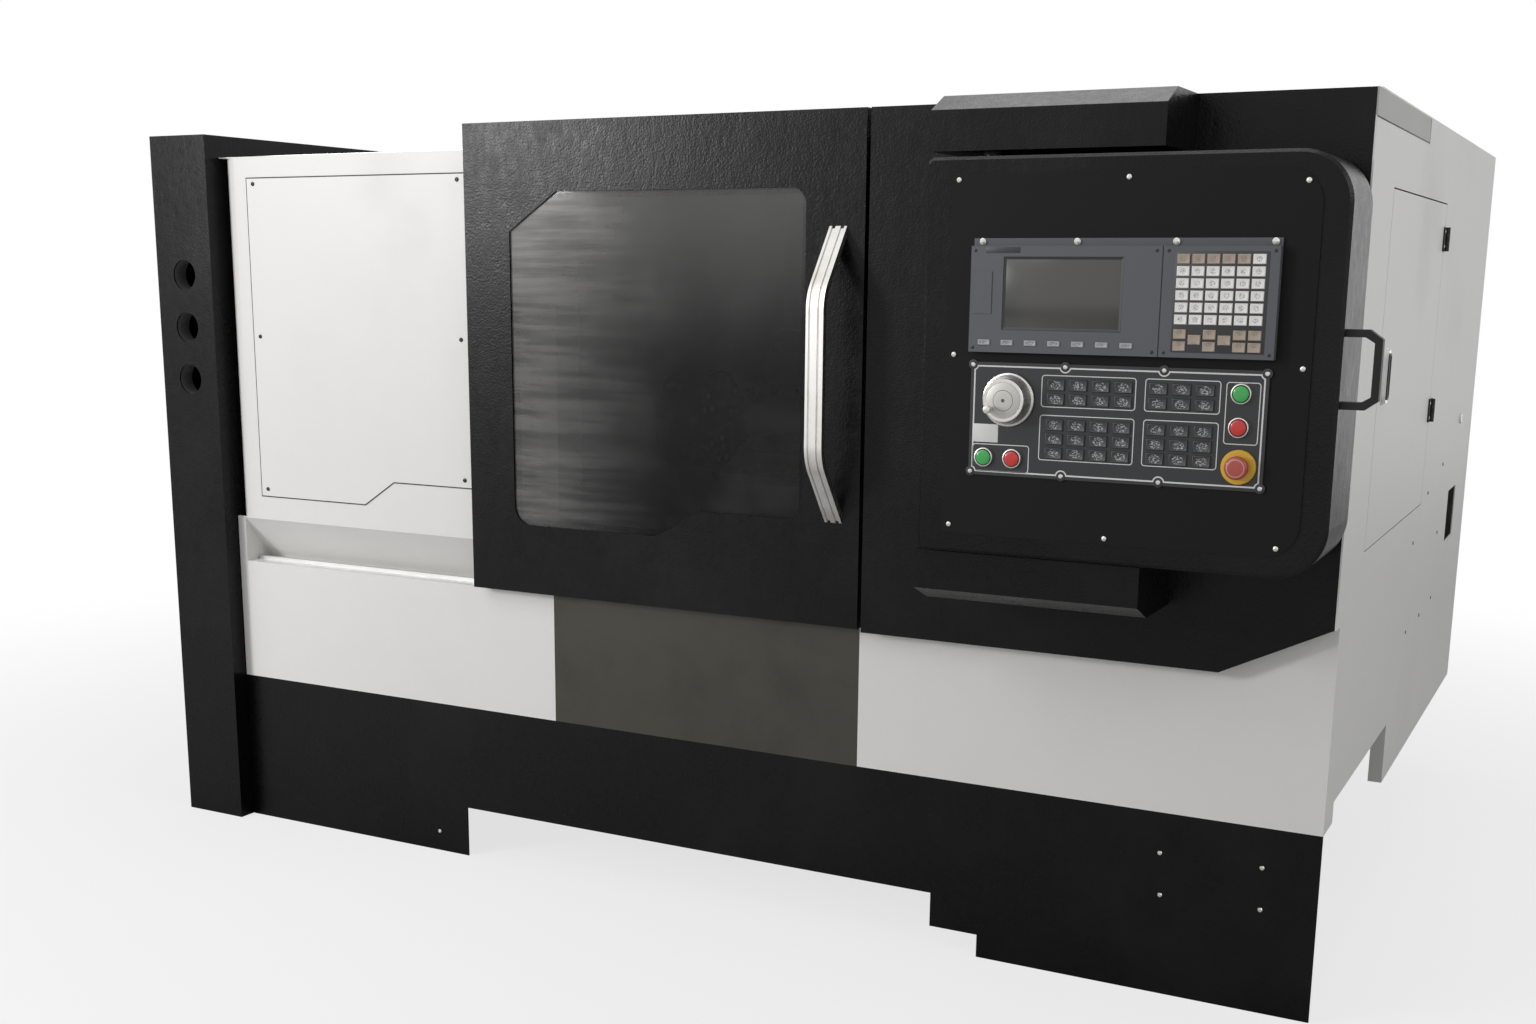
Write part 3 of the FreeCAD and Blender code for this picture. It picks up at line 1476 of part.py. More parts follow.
def motor_pulley():
    belt_pulley("motor_pulley", s.motor_pulley_radius, s.motor_shaft_radius, pulley_left,
                   motor_y, motor_z, motor_run + s.motor_shaft_seat)


def spindle_motor():
    """Square finned motor on its foot, bored for the rotor's shaft."""
    body = new_body("spindle_motor")
    half, corner = s.motor_size / 2, s.motor_corner
    extrude(body, "YZ", motor_left, s.motor_length,
            [(-half, corner - half), (corner - half, -half), (half - corner, -half),
             (half, corner - half), (half, half - corner), (half - corner, half),
             (corner - half, half), (-half, half - corner)])
    extrude(body, "YZ", motor_left, s.motor_length,
            rectangle(-s.base_shelf / 2, s.base_shelf / 2, -half - s.motor_foot, -half))
    count = int(s.motor_fins.value)
    pitch = s.motor_length / (count + 1)
    for i in range(count):
        left = motor_left + pitch * (i + 1)
        cut(body, "YZ", left, pitch / 2,
            rectangle(-half, s.fin_depth - half, -half / 2, half / 2),
            rectangle(half - s.fin_depth, half, -half / 2, half / 2),
            rectangle(-half / 2, half / 2, half - s.fin_depth, half))
    cut(body, "YZ", motor_left, s.motor_shaft_seat + s.joint_gap,
        Hole(0, 0, s.motor_shaft_radius + s.fit_gap))
    place(body, 0, motor_y, motor_z)


def drive_belt():
    """Flat belt round the spindle pulley and the motor pulley."""
    body = new_body("drive_belt")
    across, rise = motor_y - s.spindle_setback, motor_z - s.spindle_height
    distance = root(across * across + rise * rise)
    lean = (s.spindle_pulley_radius - s.motor_pulley_radius) / distance
    square = root(1 - lean * lean)
    start = s.belt_inset
    width = s.pulley_width - start * 2
    for draw, extra in ((extrude, s.slide_gap + s.belt_thickness), (cut, s.slide_gap)):
        large = s.spindle_pulley_radius + extra
        small = s.motor_pulley_radius + extra
        draw(body, "YZ", start, width, Hole(0, 0, large))
        draw(body, "YZ", start, width, Hole(distance, 0, small))
        draw(body, "YZ", start, width,
             [(large * lean, -large * square), (distance + small * lean, -small * square),
              (distance + small * lean, small * square), (large * lean, large * square)])
    lean_angle = Size(math.degrees(math.atan2(rise.value, across.value)),
                      f"(atan({rise.text} / {across.text}) / 1 deg)")
    place(body, pulley_left, s.spindle_setback, s.spindle_height, about=(1, 0, 0),
          angle=lean_angle)


# ---------------------------------------------------------------- guideways, carriage and turret

screw_off = s.screw_lift - s.bed_drop
low_block_left = rail_left
high_block_left = rail_right + s.joint_gap * 5
z_motor_left = high_block_left + s.screw_block + s.shaft_seat
carriage_rails = (s.low_rail, s.low_rail + s.rail_spread)
stock_rails = (s.stock_rail, s.stock_rail - s.stock_rail_spread)


def z_rails():
    """Four guide rails along the bed, and the two bearing blocks of the feed screw."""
    members = []
    for i, along in enumerate(carriage_rails + stock_rails):
        members.append(block(f"rail_{i}", (rail_left, rail_right),
                             (along - s.rail_width / 2, along + s.rail_width / 2),
                             (-s.bed_drop, s.rail_height - s.bed_drop)))
    half = s.screw_block_width
    for i, left in enumerate((low_block_left, high_block_left)):
        holder = block(f"screw_block_{i}", (left, left + s.screw_block),
                       (s.screw_along - half, s.screw_along + half),
                       (-s.bed_drop, screw_off + half))
        bore = rod(f"screw_bore_{i}", s.journal_radius + s.fit_gap, s.screw_block,
                   (left, s.screw_along, screw_off), "x")
        members.append(subtract(f"bearing_{i}", holder, bore))
    place_on_slant(group("z_rails", members))


def z_screw():
    """Feed screw of the carriage, stepped down to journals at both ends."""
    body = new_body("z_screw")
    gap = s.slide_gap
    left = low_block_left + s.screw_block + gap
    right = high_block_left - gap
    turn(body, "XY", "H_Axis",
         [(low_block_left, 0), (z_motor_left + s.shaft_seat, 0),
          (z_motor_left + s.shaft_seat, s.journal_radius), (right, s.journal_radius),
          (right, s.screw_radius), (left, s.screw_radius), (left, s.journal_radius),
          (low_block_left, s.journal_radius)])
    y, z = on_slant(s.screw_along, screw_off)
    place(body, 0, y, z)


def servo_motor(label, size, length, at, shaft):
    """Square servo motor with a front flange; drawn along x, or up the slope."""
    body = new_body(label)
    plane, start, centre = at
    half = size / 2
    across, up = centre
    flange = s.screw_block / 2
    extrude(body, plane, start, flange,
            rectangle(across - half, across + half, up - half, up + half))
    inner = half - s.sheet * 2
    extrude(body, plane, start + flange, length - flange,
            rectangle(across - inner, across + inner, up - inner, up + inner, s.sheet * 2))
    if shaft is not None:
        cut(body, plane, start, s.shaft_seat + s.joint_gap, Hole(across, up, shaft))
    place_on_slant(body)


def z_motor():
    servo_motor("z_motor", s.z_motor_size, s.z_motor_length,
                ("YZ", z_motor_left, (s.screw_along, screw_off)), s.journal_radius + s.fit_gap)


saddle_left = rail_right - s.saddle_setback
saddle_right = saddle_left + s.saddle_length
saddle_floor = s.saddle_lift - s.bed_drop
saddle_roof = s.saddle_top - s.bed_drop


def rail_channel(along, floor):
    """Groove that rides over a bed rail."""
    half = s.rail_width / 2 + s.slide_gap
    return rectangle(along - half, along + half, floor,
                     s.rail_height + s.slide_gap - s.bed_drop)


def carriage():
    """Saddle on the two upper rails, with a passage for the feed screw."""
    body = new_body("carriage")
    extrude(body, "YZ", saddle_left, s.saddle_length,
            rectangle(s.saddle_low, s.saddle_high, saddle_floor, saddle_roof))
    cut(body, "YZ", saddle_left, s.saddle_length,
        *[rail_channel(along, saddle_floor) for along in carriage_rails])
    cut(body, "YZ", saddle_left, s.saddle_length,
        Hole(s.screw_along, screw_off, s.screw_radius + s.slide_gap))
    place_on_slant(body)


cross_rail_top = saddle_roof + s.cross_rail_height
cross_rails = (saddle_left + s.cross_rail_inset,
               saddle_right - s.cross_rail_inset - s.cross_rail_width)


def x_rails():
    """Two guide rails across the carriage."""
    members = [block(f"cross_rail_{i}", (left, left + s.cross_rail_width),
                     (s.saddle_low + s.cross_rail_margin, s.saddle_high - s.cross_rail_margin),
                     (saddle_roof, cross_rail_top)) for i, left in enumerate(cross_rails)]
    place_on_slant(group("x_rails", members))


slide_floor = saddle_roof + s.saddle_lift
slide_roof = slide_floor + s.slide_thickness
slide_low = s.turret_along - s.slide_length / 2


def cross_slide():
    """Slide that carries the turret, grooved for the cross rails."""
    body = new_body("cross_slide")
    extrude(body, "XZ", slide_low, s.slide_length,
            rectangle(saddle_left + s.slide_margin, saddle_right - s.slide_margin, slide_floor,
                      slide_roof))
    cut(body, "XZ", slide_low, s.slide_length,
        *[rectangle(left - s.slide_gap, left + s.cross_rail_width + s.slide_gap, slide_floor,
                    cross_rail_top + s.slide_gap) for left in cross_rails])
    place_on_slant(body)


def x_motor():
    centre = ((saddle_left + saddle_right) / 2,
              saddle_roof + s.x_motor_size / 2 - s.x_motor_drop)
    servo_motor("x_motor", s.x_motor_size, s.x_motor_length,
                ("XZ", s.saddle_high, centre), None)


turret_left = saddle_left - s.slide_margin
disc_left = turret_left - s.disc_gap - s.disc_thickness


def turret_housing():
    """Indexing housing on the cross slide, bored for the disc's hub."""
    body = new_body("turret_housing")
    half = s.turret_body / 2
    low, high = s.turret_along - half, s.turret_along + half
    chamfer = s.turret_chamfer
    extrude(body, "YZ", turret_left, s.turret_body_length,
            [(low, slide_roof), (high, slide_roof), (high, s.turret_top - chamfer),
             (high - chamfer, s.turret_top), (low + chamfer, s.turret_top),
             (low, s.turret_top - chamfer)])
    cut(body, "YZ", turret_left, s.hub_length, Hole(s.turret_along, 0, s.hub_radius + s.fit_gap))
    place_on_slant(body)


def around_disc(station, out, aside):
    """A point at a distance out from the turret's axis on one station, and aside from it."""
    angle = math.radians(360 * station / s.stations.value)
    return (out * math.sin(angle) + aside * math.cos(angle),
            out * math.cos(angle) - aside * math.sin(angle))


stations = range(int(s.stations.value))


def turret_disc():
    """Eight-sided tool disc with its hub."""
    body = new_body("turret_disc")
    side = s.disc_radius * math.tan(math.pi / s.stations.value)
    extrude(body, "YZ", disc_left, s.disc_thickness,
            [around_disc(station, s.disc_radius, side) for station in stations])
    extrude(body, "YZ", disc_left + s.disc_thickness, s.disc_gap + s.hub_length - s.joint_gap,
            Hole(0, 0, s.hub_radius))
    extrude(body, "YZ", disc_left - s.disc_gap * 2, s.disc_gap * 2,
            Hole(0, 0, s.hub_radius))
    y, z = on_slant(s.turret_along, as_size(0))
    place(body, 0, y, z, about=(1, 0, 0), angle=s.slant)


def turret_tools():
    """A holder block and a square tool on every face of the disc."""
    body = new_body("turret_tools")
    body.AllowCompound = True
    half, wide = s.holder_width / 2, s.tool_size / 2
    left = disc_left + (s.disc_thickness - s.holder_length) / 2
    top = s.disc_radius + s.holder_height
    holders, tools = [], []
    for station in stations:
        holders.append([around_disc(station, out, aside)
                        for out, aside in ((s.disc_radius, -half), (top, -half), (top, half),
                                           (s.disc_radius, half))])
        tools.append([around_disc(station, out, aside)
                      for out, aside in ((s.disc_radius, -wide), (top + s.tool_reach, -wide),
                                         (top + s.tool_reach, wide), (s.disc_radius, wide))])
    extrude(body, "YZ", left, s.holder_length, *holders)
    extrude(body, "YZ", left, s.tool_size, *tools)
    y, z = on_slant(s.turret_along, as_size(0))
    place(body, 0, y, z, about=(1, 0, 0), angle=s.slant)


# ---------------------------------------------------------------- tailstock

stock_left = rail_right - s.stock_setback
quill_left = stock_left - s.quill_reach


def tailstock():
    """Tailstock on the two lower rails, its barrel bored for the quill."""
    body = new_body("tailstock")
    top = saddle_floor + s.stock_base
    extrude(body, "YZ", stock_left, s.stock_length,
            [(-s.stock_low, saddle_floor), (s.stock_high, saddle_floor), (s.stock_high, top),
             (s.stock_neck, 0), (-s.stock_neck, 0), (-s.stock_waist, top), (-s.stock_low, top)])
    extrude(body, "YZ", stock_left, s.stock_length, Hole(0, 0, s.barrel_radius))
    cut(body, "YZ", stock_left, s.stock_length,
        *[rail_channel(along, saddle_floor) for along in stock_rails])
    cut(body, "YZ", stock_left, s.stock_length, Hole(0, 0, s.quill_radius + s.fit_gap))
    place_on_slant(body)


def quill():
    """Quill in the tailstock, bored at its nose for the centre."""
    body = new_body("quill")
    extrude(body, "YZ", quill_left, s.quill_length, Hole(0, 0, s.quill_radius))
    cut(body, "YZ", quill_left, s.centre_shank + s.joint_gap,
        Hole(0, 0, s.centre_shank_radius + s.fit_gap))
    place(body, 0, s.spindle_setback, s.spindle_height)


def live_centre():
    """Turning centre with a 60 degree point, its very tip ground flat."""
    body = new_body("live_centre")
    back = quill_left - s.slide_gap
    tip = back - s.centre_length
    ground = tip + s.centre_cone * s.centre_flat / s.centre_radius
    turn(body, "XY", "H_Axis",
         [(ground, 0), (quill_left + s.centre_shank, 0),
          (quill_left + s.centre_shank, s.centre_shank_radius), (back, s.centre_shank_radius),
          (back, s.centre_radius), (tip + s.centre_cone, s.centre_radius),
          (ground, s.centre_flat)])
    place(body, 0, s.spindle_setback, s.spindle_height)


# ---------------------------------------------------------------- work chamber

def splash_guard():
    """Sheet walls of the work chamber: two ends, a back, and the chip trough in front of the bed."""
    body = new_body("splash_guard")
    gap, wall = s.chamber_gap, s.sheet
    left = cover_right
    right = rail_right + gap
    front = s.recess_depth + gap
    floor = s.base_step + s.chamber_gap
    nose = s.base_nose - gap
    chin = s.base_chin + gap
    high = roof_under - gap
    end = [(front, floor), (nose, floor), (nose, chin),
           (bed_low_edge[0] - gap, bed_low_edge[1] + gap),
           (bed_high_edge[0] - gap, shelf_height + gap), (s.chamber_back, shelf_height + gap),
           (s.chamber_back, high), (front, high)]
    for start in (left, right - wall):
        extrude(body, "YZ", start, wall, end)
    extrude(body, "YZ", left, right - left,
            [(front, floor), (nose, floor), (nose, chin), (nose - wall, chin),
             (nose - wall, floor + wall), (front + wall, floor + wall),
             (front + wall, s.apron_top - gap), (front, s.apron_top - gap)])
    extrude(body, "YZ", left, right - left,
            rectangle(s.chamber_back - wall, s.chamber_back, shelf_height + gap, high))
    cut(body, "YZ", left, wall,
        Hole(s.spindle_setback, s.spindle_height, s.nose_hole_radius))
    cut(body, "YZ", right - wall, wall,
        Hole(*on_slant(s.screw_along, screw_off), s.screw_hole_radius))
    place(body)


# ---------------------------------------------------------------- build, check and export

left_column()
headstock_cover()
cover_plate()
apron("left_apron", cover_left, chip_left)
apron("chip_apron", chip_left, chip_right)
right_apron()
front_skirt()
console_cabinet()
side_cover()
side_cap()
top_cover()
rear_enclosure()
side_hatch()
hatch_hinges()
hatch_latch()
sliding_door()
window_glass()
window_retainer()
door_handle()
door_tracks()
door_hangers()
control_box()
front_plate()
upper_hood()
lower_bracket()
pull_handle()
display_unit()
operator_panel()
push_button("start_button", start_at)
push_button("stop_button", stop_at)
push_button("power_on_button", power_on_at)
push_button("power_off_button", power_off_at)
emergency_stop()
handwheel()
bed_casting()
levelling_feet()
headstock()
spindle()
chuck_body()
for jaw in (1, 2, 3):
    chuck_jaw(jaw)
spindle_pulley()
motor_pulley()
spindle_motor()
drive_belt()
z_rails()
z_screw()
z_motor()
carriage()
x_rails()
cross_slide()
x_motor()
turret_housing()
turret_disc()
turret_tools()
tailstock()
quill()
live_centre()
splash_guard()

doc.recompute()
for item in doc.Objects:
    if "Invalid" in item.State or "Error" in item.State:
        raise RuntimeError(f"{item.Name}: {item.State}")
for piece in pieces:
    if piece.Shape.isNull() or not piece.Shape.isValid():
        raise RuntimeError(f"{piece.Label}: the shape is empty or not valid")

os.makedirs("parts", exist_ok=True)
for piece in pieces:
    piece.Shape.exportStep(os.path.join("parts", f"{piece.Label}.step"))
print(len(pieces), "parts exported")
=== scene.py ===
import math

import bpy
from mathutils import Euler, Matrix, Vector


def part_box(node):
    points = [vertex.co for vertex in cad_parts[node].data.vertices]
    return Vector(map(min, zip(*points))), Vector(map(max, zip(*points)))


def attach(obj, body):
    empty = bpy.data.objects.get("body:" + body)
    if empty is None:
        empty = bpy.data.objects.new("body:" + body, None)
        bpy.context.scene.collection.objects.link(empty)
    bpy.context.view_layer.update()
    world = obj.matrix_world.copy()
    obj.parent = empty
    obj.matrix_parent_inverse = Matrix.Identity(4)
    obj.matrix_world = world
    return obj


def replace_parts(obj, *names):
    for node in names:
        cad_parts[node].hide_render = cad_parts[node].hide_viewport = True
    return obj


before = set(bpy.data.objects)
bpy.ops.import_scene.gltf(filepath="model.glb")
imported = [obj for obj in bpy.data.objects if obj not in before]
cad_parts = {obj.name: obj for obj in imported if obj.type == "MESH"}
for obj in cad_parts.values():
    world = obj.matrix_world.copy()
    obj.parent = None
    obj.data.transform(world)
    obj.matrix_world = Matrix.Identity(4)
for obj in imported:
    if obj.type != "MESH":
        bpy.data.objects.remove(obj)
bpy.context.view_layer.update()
bpy.context.scene.view_settings.view_transform = "Standard"


# ------------------------------------------------------------------ camera
# Standing height, in front of the machine and to its right, looking slightly down.
# The lens is shifted up and to the side, because the photograph is a cropped one.
camera_data = bpy.data.cameras.new("camera")
camera_data.sensor_width = 36
camera_data.lens = 40.45
camera_data.shift_x = 0.0132
camera_data.shift_y = 0.0835
camera = bpy.data.objects.new("camera", camera_data)
bpy.context.scene.collection.objects.link(camera)
camera.location = (1.9806, -4.2608, 1.4673)
look_down, turn_left, roll = 12.05, 27.95, 0.42
camera.rotation_euler = (Matrix.Rotation(math.radians(turn_left), 3, "Z")
                         @ Matrix.Rotation(math.radians(90 - look_down), 3, "X")
                         @ Matrix.Rotation(math.radians(roll), 3, "Z")).to_euler()
bpy.context.scene.camera = camera


# ------------------------------------------------------------------ white covers
# Folded steel sheets, powder coated in a warm white: the headstock's cover, the
# aprons, the roof, the right side and the rear. Screwed to the frame from inside.
class Value:
    """One number inside a finish. A sum on it adds the Math node that works it out."""

    def __init__(self, finish, socket):
        self.finish = finish
        self.socket = socket

    def __add__(self, other):
        return self.finish.maths("ADD", self, other)

    def __radd__(self, other):
        return self.finish.maths("ADD", other, self)

    def __sub__(self, other):
        return self.finish.maths("SUBTRACT", self, other)

    def __rsub__(self, other):
        return self.finish.maths("SUBTRACT", other, self)

    def __mul__(self, other):
        return self.finish.maths("MULTIPLY", self, other)

    def __rmul__(self, other):
        return self.finish.maths("MULTIPLY", other, self)

    def __truediv__(self, other):
        return self.finish.maths("DIVIDE", self, other)

    def __gt__(self, other):
        return self.finish.maths("GREATER_THAN", self, other)

    def __lt__(self, other):
        return self.finish.maths("LESS_THAN", self, other)


class Finish:
    """A material of one Principled shader, whose patterns are written as sums of Values."""

    def __init__(self, name, colour, roughness, metallic=0.0, **constants):
        self.material = bpy.data.materials.new(name)
        self.material.use_nodes = True
        self.tree = self.material.node_tree
        self.shader = self.tree.nodes["Principled BSDF"]
        self.colour = colour
        self.set("Base Color", (*colour, 1))
        self.set("Roughness", roughness)
        self.set("Metallic", metallic)
        for socket, constant in constants.items():
            self.set(socket.replace("_", " "), constant)

    def set(self, socket, value):
        """Give one of the shader's sockets a constant, or the result of a sum."""
        if isinstance(value, Value):
            self.tree.links.new(value.socket, self.shader.inputs[socket])
        else:
            self.shader.inputs[socket].default_value = value

    def node(self, kind, settings, sockets, output=0):
        """Add any other node: its settings first, then the values or links of its sockets."""
        node = self.tree.nodes.new(f"ShaderNode{kind}")
        for name, setting in settings.items():
            setattr(node, name, setting)
        for key, value in sockets.items():
            if isinstance(value, Value):
                self.tree.links.new(value.socket, node.inputs[key])
            else:
                node.inputs[key].default_value = value
        return Value(self, node.outputs[output])

    def maths(self, operation, *parts):
        """One Math node on numbers or Values."""
        return self.node("Math", {"operation": operation}, dict(enumerate(parts)))

    def place(self, squeeze=(1, 1, 1), turn=(0, 0, 0), shift=(0, 0, 0)):
        """Object coordinates in metres, squeezed, turned and shifted for a pattern."""
        if not hasattr(self, "coordinates"):
            self.coordinates = self.node("TexCoord", {}, {}, "Object")
        return self.node("Mapping", {}, {"Vector": self.coordinates, "Scale": squeeze,
                                         "Rotation": turn, "Location": shift})

    def along(self, axis, **place):
        """How far a point lies along one axis, from the middle of the pattern."""
        return self.node("SeparateXYZ", {}, {0: self.place(**place)}, axis)

    def reach(self, **place):
        """How far a point lies from the middle of the pattern."""
        return self.node("VectorMath", {"operation": "LENGTH"}, {0: self.place(**place)}, "Value")

    def noise(self, scale, detail=2.0, rough=0.5, **place):
        """Cloudy noise from 0 to 1, finer as its scale goes up."""
        return self.node("TexNoise", {}, {"Vector": self.place(**place), "Scale": scale,
                                          "Detail": detail, "Roughness": rough})

    def between(self, value, low, high, to_low=0.0, to_high=1.0):
        """Stretch the part of value from low to high, and hold it at the ends."""
        return self.node("MapRange", {"clamp": True, "interpolation_type": "SMOOTHSTEP"},
                         {0: value, 1: low, 2: high, 3: to_low, 4: to_high})

    def tint(self, share, colour, under=None):
        """Lay a share of another colour over the finish's own, or over the one under it."""
        sockets = {0: share, 6: (*(under or self.colour), 1), 7: (*colour, 1)}
        self.set("Base Color", self.node("Mix", {"data_type": "RGBA"}, sockets, 2))

    def bump(self, height, depth, strength=1.0):
        """Raise the surface by the pattern, depth metres from its 0 to its 1."""
        self.set("Normal", self.node("Bump", {}, {"Height": height, "Distance": depth,
                                                  "Strength": strength}))

    def grain(self, scale, depth, strength, detail=2.0):
        """Raise the surface by fine noise."""
        self.bump(self.noise(scale, detail), depth, strength)

    def wear(self, smoothest, spread, scale, detail=3.0):
        """Let the roughness wander with noise, from its smoothest up by the spread."""
        self.set("Roughness", smoothest + self.noise(scale, detail) * spread)


def paint(finish, *names):
    """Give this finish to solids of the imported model, which stay as they are."""
    for name in names:
        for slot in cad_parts[name].material_slots:
            slot.material = finish.material


white = Finish("white_powder_coat", (0.76, 0.75, 0.73), 0.42)
smudge = white.noise(1.7, 6.0, 0.62)
grime = white.between(smudge, 0.48, 0.72)
speckle = white.noise(140.0, 2.0)
white.tint(grime * 0.14, (0.60, 0.585, 0.545))
white.set("Roughness", 0.38 + grime * 0.10 + speckle * 0.05)
orange_peel = white.noise(420.0, 1.0)
oil_canning = white.noise(1.3, 1.0)
white.bump(orange_peel * 0.12 + oil_canning, 0.0012, 0.5)
paint(white, "headstock_cover", "left_apron", "right_apron", "side_cover", "top_cover",
      "rear_enclosure", "side_hatch", "cover_plate")

# The side cap's grey is painted shade.
cap_painted_shade = Finish("grey_painted_shade", (0.36, 0.355, 0.33), 0.40)
cap_painted_shade.grain(420.0, 0.00015, 0.6, 1.0)
cap_painted_shade.wear(0.36, 0.12, 6.0, 4.0)
paint(cap_painted_shade, "side_cap")


# ------------------------------------------------------------------ cover plate
# Flat inspection plate over the headstock's gears, white as the cover. A thin black
# strip round its edge is painted shade in the narrow gap to the cover, and six black
# button-head screws hold it.
FACING_FRONT = (math.radians(90), 0, 0)


def begin(add, scale=(1, 1, 1), **placed):
    """Add one primitive with nothing else selected, and open it for editing."""
    bpy.ops.object.select_all(action="DESELECT")
    add(**placed)
    bpy.context.object.scale = scale
    bpy.ops.object.transform_apply(location=False, rotation=False, scale=True)
    bpy.ops.object.mode_set(mode="EDIT")
    bpy.ops.mesh.select_mode(type="VERT")
    bpy.ops.mesh.select_all(action="SELECT")
    return bpy.context.object


def pick(piece, kind, wanted):
    """Select only the piece's vertices, edges or faces whose middle is wanted."""
    bpy.ops.mesh.select_mode(type=kind)
    bpy.ops.mesh.select_all(action="DESELECT")
    bpy.ops.object.mode_set(mode="OBJECT")
    mesh = piece.data
    for part in {"VERT": mesh.vertices, "EDGE": mesh.edges, "FACE": mesh.polygons}[kind]:
        ends = [part] if kind == "VERT" else [mesh.vertices[i] for i in part.vertices]
        middle = sum((end.co for end in ends), Vector()) / len(ends)
        part.select = wanted(piece.matrix_world @ middle)
    bpy.ops.object.mode_set(mode="EDIT")


def face_outwards():
    """Turn all faces of the piece that is open for editing outwards."""
    bpy.ops.mesh.select_all(action="SELECT")
    bpy.ops.mesh.normals_make_consistent(inside=False)


def ring(width, rise):
    """Keep only a rim of the sheet that is open for editing, and give it its thickness."""
    bpy.ops.mesh.select_all(action="SELECT")
    bpy.ops.mesh.inset(thickness=width)
    bpy.ops.mesh.delete(type="FACE")
    bpy.ops.mesh.select_all(action="SELECT")
    bpy.ops.mesh.extrude_region_move(TRANSFORM_OT_translate={"value": rise})
    face_outwards()


def turned(steps, sides=24, tilt=FACING_FRONT, bored=False):
    """A turned piece at the origin, drawn up through rings of (radius, height)."""
    out = Euler(tilt).to_matrix() @ Vector((0, 0, 1))
    radius, height = steps[0]
    piece = begin(bpy.ops.mesh.primitive_circle_add, vertices=sides, radius=radius,
                  fill_type="NOTHING" if bored else "NGON", location=out * height, rotation=tilt)
    for next_radius, next_height in steps[1:] + steps[:1] * bored:
        bpy.ops.mesh.extrude_region_move(
            TRANSFORM_OT_translate={"value": out * (next_height - height)})
        bpy.ops.transform.resize(value=(next_radius / radius,) * 3,
                                 center_override=out * next_height)
        radius, height = next_radius, next_height
    bpy.ops.mesh.select_all(action="SELECT")
    bpy.ops.mesh.remove_doubles(threshold=1e-6)
    face_outwards()
    bpy.ops.object.mode_set(mode="OBJECT")
    return piece


def duplicate(piece):
    """A copy of a piece, with its own mesh."""
    copy = piece.copy()
    copy.data = piece.data.copy()
    bpy.context.collection.objects.link(copy)
    return copy


def repeat(piece, places):
    """Copy a piece to each place, and join the copies. The piece itself goes."""
    bpy.ops.object.select_all(action="DESELECT")
    for place in places:
        copy = duplicate(piece)
        copy.location = piece.location + Vector(place)
        copy.select_set(True)
        bpy.context.view_layer.objects.active = copy
    bpy.data.objects.remove(piece)
    bpy.ops.object.join()
    return bpy.context.object


def fit(piece, name, finish, body, smooth=30):
    """Name a finished piece, settle its place in its mesh, and fix it to a body."""
    if bpy.context.mode != "OBJECT":
        bpy.ops.object.mode_set(mode="OBJECT")
    piece.name = name
    piece.data.materials.clear()
    piece.data.materials.append(finish.material)
    bpy.ops.object.select_all(action="DESELECT")
    piece.select_set(True)
    bpy.context.view_layer.objects.active = piece
    bpy.ops.object.transform_apply(location=True, rotation=True, scale=True)
    bpy.ops.object.shade_smooth_by_angle(angle=math.radians(smooth))
    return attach(piece, body)


# Black rubber for wipers, plugs and seams. Round the cover plate it paints the shade in the gap.
rubber_and_gap_shade = Finish("rubber_and_gap_shade", (0.030, 0.030, 0.029), 0.60)
rubber_and_gap_shade.grain(600.0, 0.0002, 0.5)
rubber_and_gap_shade.wear(0.55, 0.12, 30.0)
black_screw = Finish("black_oxide_screw", (0.045, 0.044, 0.043), 0.36, 0.8)
black_screw.wear(0.30, 0.14, 90.0)

(plate_left, plate_front, plate_low), (plate_right, _, plate_high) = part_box("cover_plate")
step_left, step_run, step_rise = 0.345, 0.094, 0.062
gap_strip_width, gap_strip_thickness, gap_strip_back, hair = 0.0030, 0.0008, 0.0015, 0.001
gap_strip_left, gap_strip_low = plate_left - gap_strip_width, plate_low - gap_strip_width
first_width, gap_strip_height = step_left + gap_strip_width, plate_high - plate_low + gap_strip_width * 2
# This strip is painted shade: it stands in the gap between the plate and the cover.
gap_shade_strip = begin(bpy.ops.mesh.primitive_plane_add, size=1, rotation=FACING_FRONT,
             location=(gap_strip_left + first_width / 2, plate_front + gap_strip_back,
                       gap_strip_low + gap_strip_height / 2), scale=(first_width, gap_strip_height, 1))
for run, rise in ((step_run, step_rise),
                  (plate_right - plate_left - step_left - step_run + gap_strip_width, 0)):
    far_edge = max((gap_shade_strip.matrix_world @ Vector(corner)).x for corner in gap_shade_strip.bound_box)
    pick(gap_shade_strip, "EDGE", lambda at: at.x > far_edge - hair)
    bpy.ops.mesh.extrude_region_move(TRANSFORM_OT_translate={"value": (run, 0, 0)})
    pick(gap_shade_strip, "VERT", lambda at: at.x > far_edge + hair and at.z < gap_strip_low + hair)
    bpy.ops.transform.translate(value=(0, 0, rise))
bpy.ops.mesh.select_mode(type="FACE")
bpy.ops.mesh.select_all(action="SELECT")
bpy.ops.mesh.dissolve_faces()
ring(gap_strip_width, (0, -gap_strip_thickness, 0))
fit(gap_shade_strip, "cover_plate_gap_shade", rubber_and_gap_shade, "machine")

button_head = turned([(0.0052, 0.0), (0.0052, 0.0012), (0.0042, 0.0026), (0.0026, 0.0031),
                      (0.0026, 0.0016)], 18)
column_in, row_in, low_row_in = 0.021, 0.013, 0.018
left_middle, right_middle = 1.296, 1.303
screws = repeat(button_head, [(x, plate_front, z) for x, z in (
    (plate_left + column_in, plate_high - row_in), (plate_right - column_in, plate_high - row_in),
    (plate_left + column_in, left_middle), (plate_right - column_in, right_middle),
    (plate_left + column_in, plate_low + low_row_in),
    (plate_right - column_in, plate_low + step_rise + low_row_in))])
fit(screws, "cover_plate_screws", black_screw, "machine")


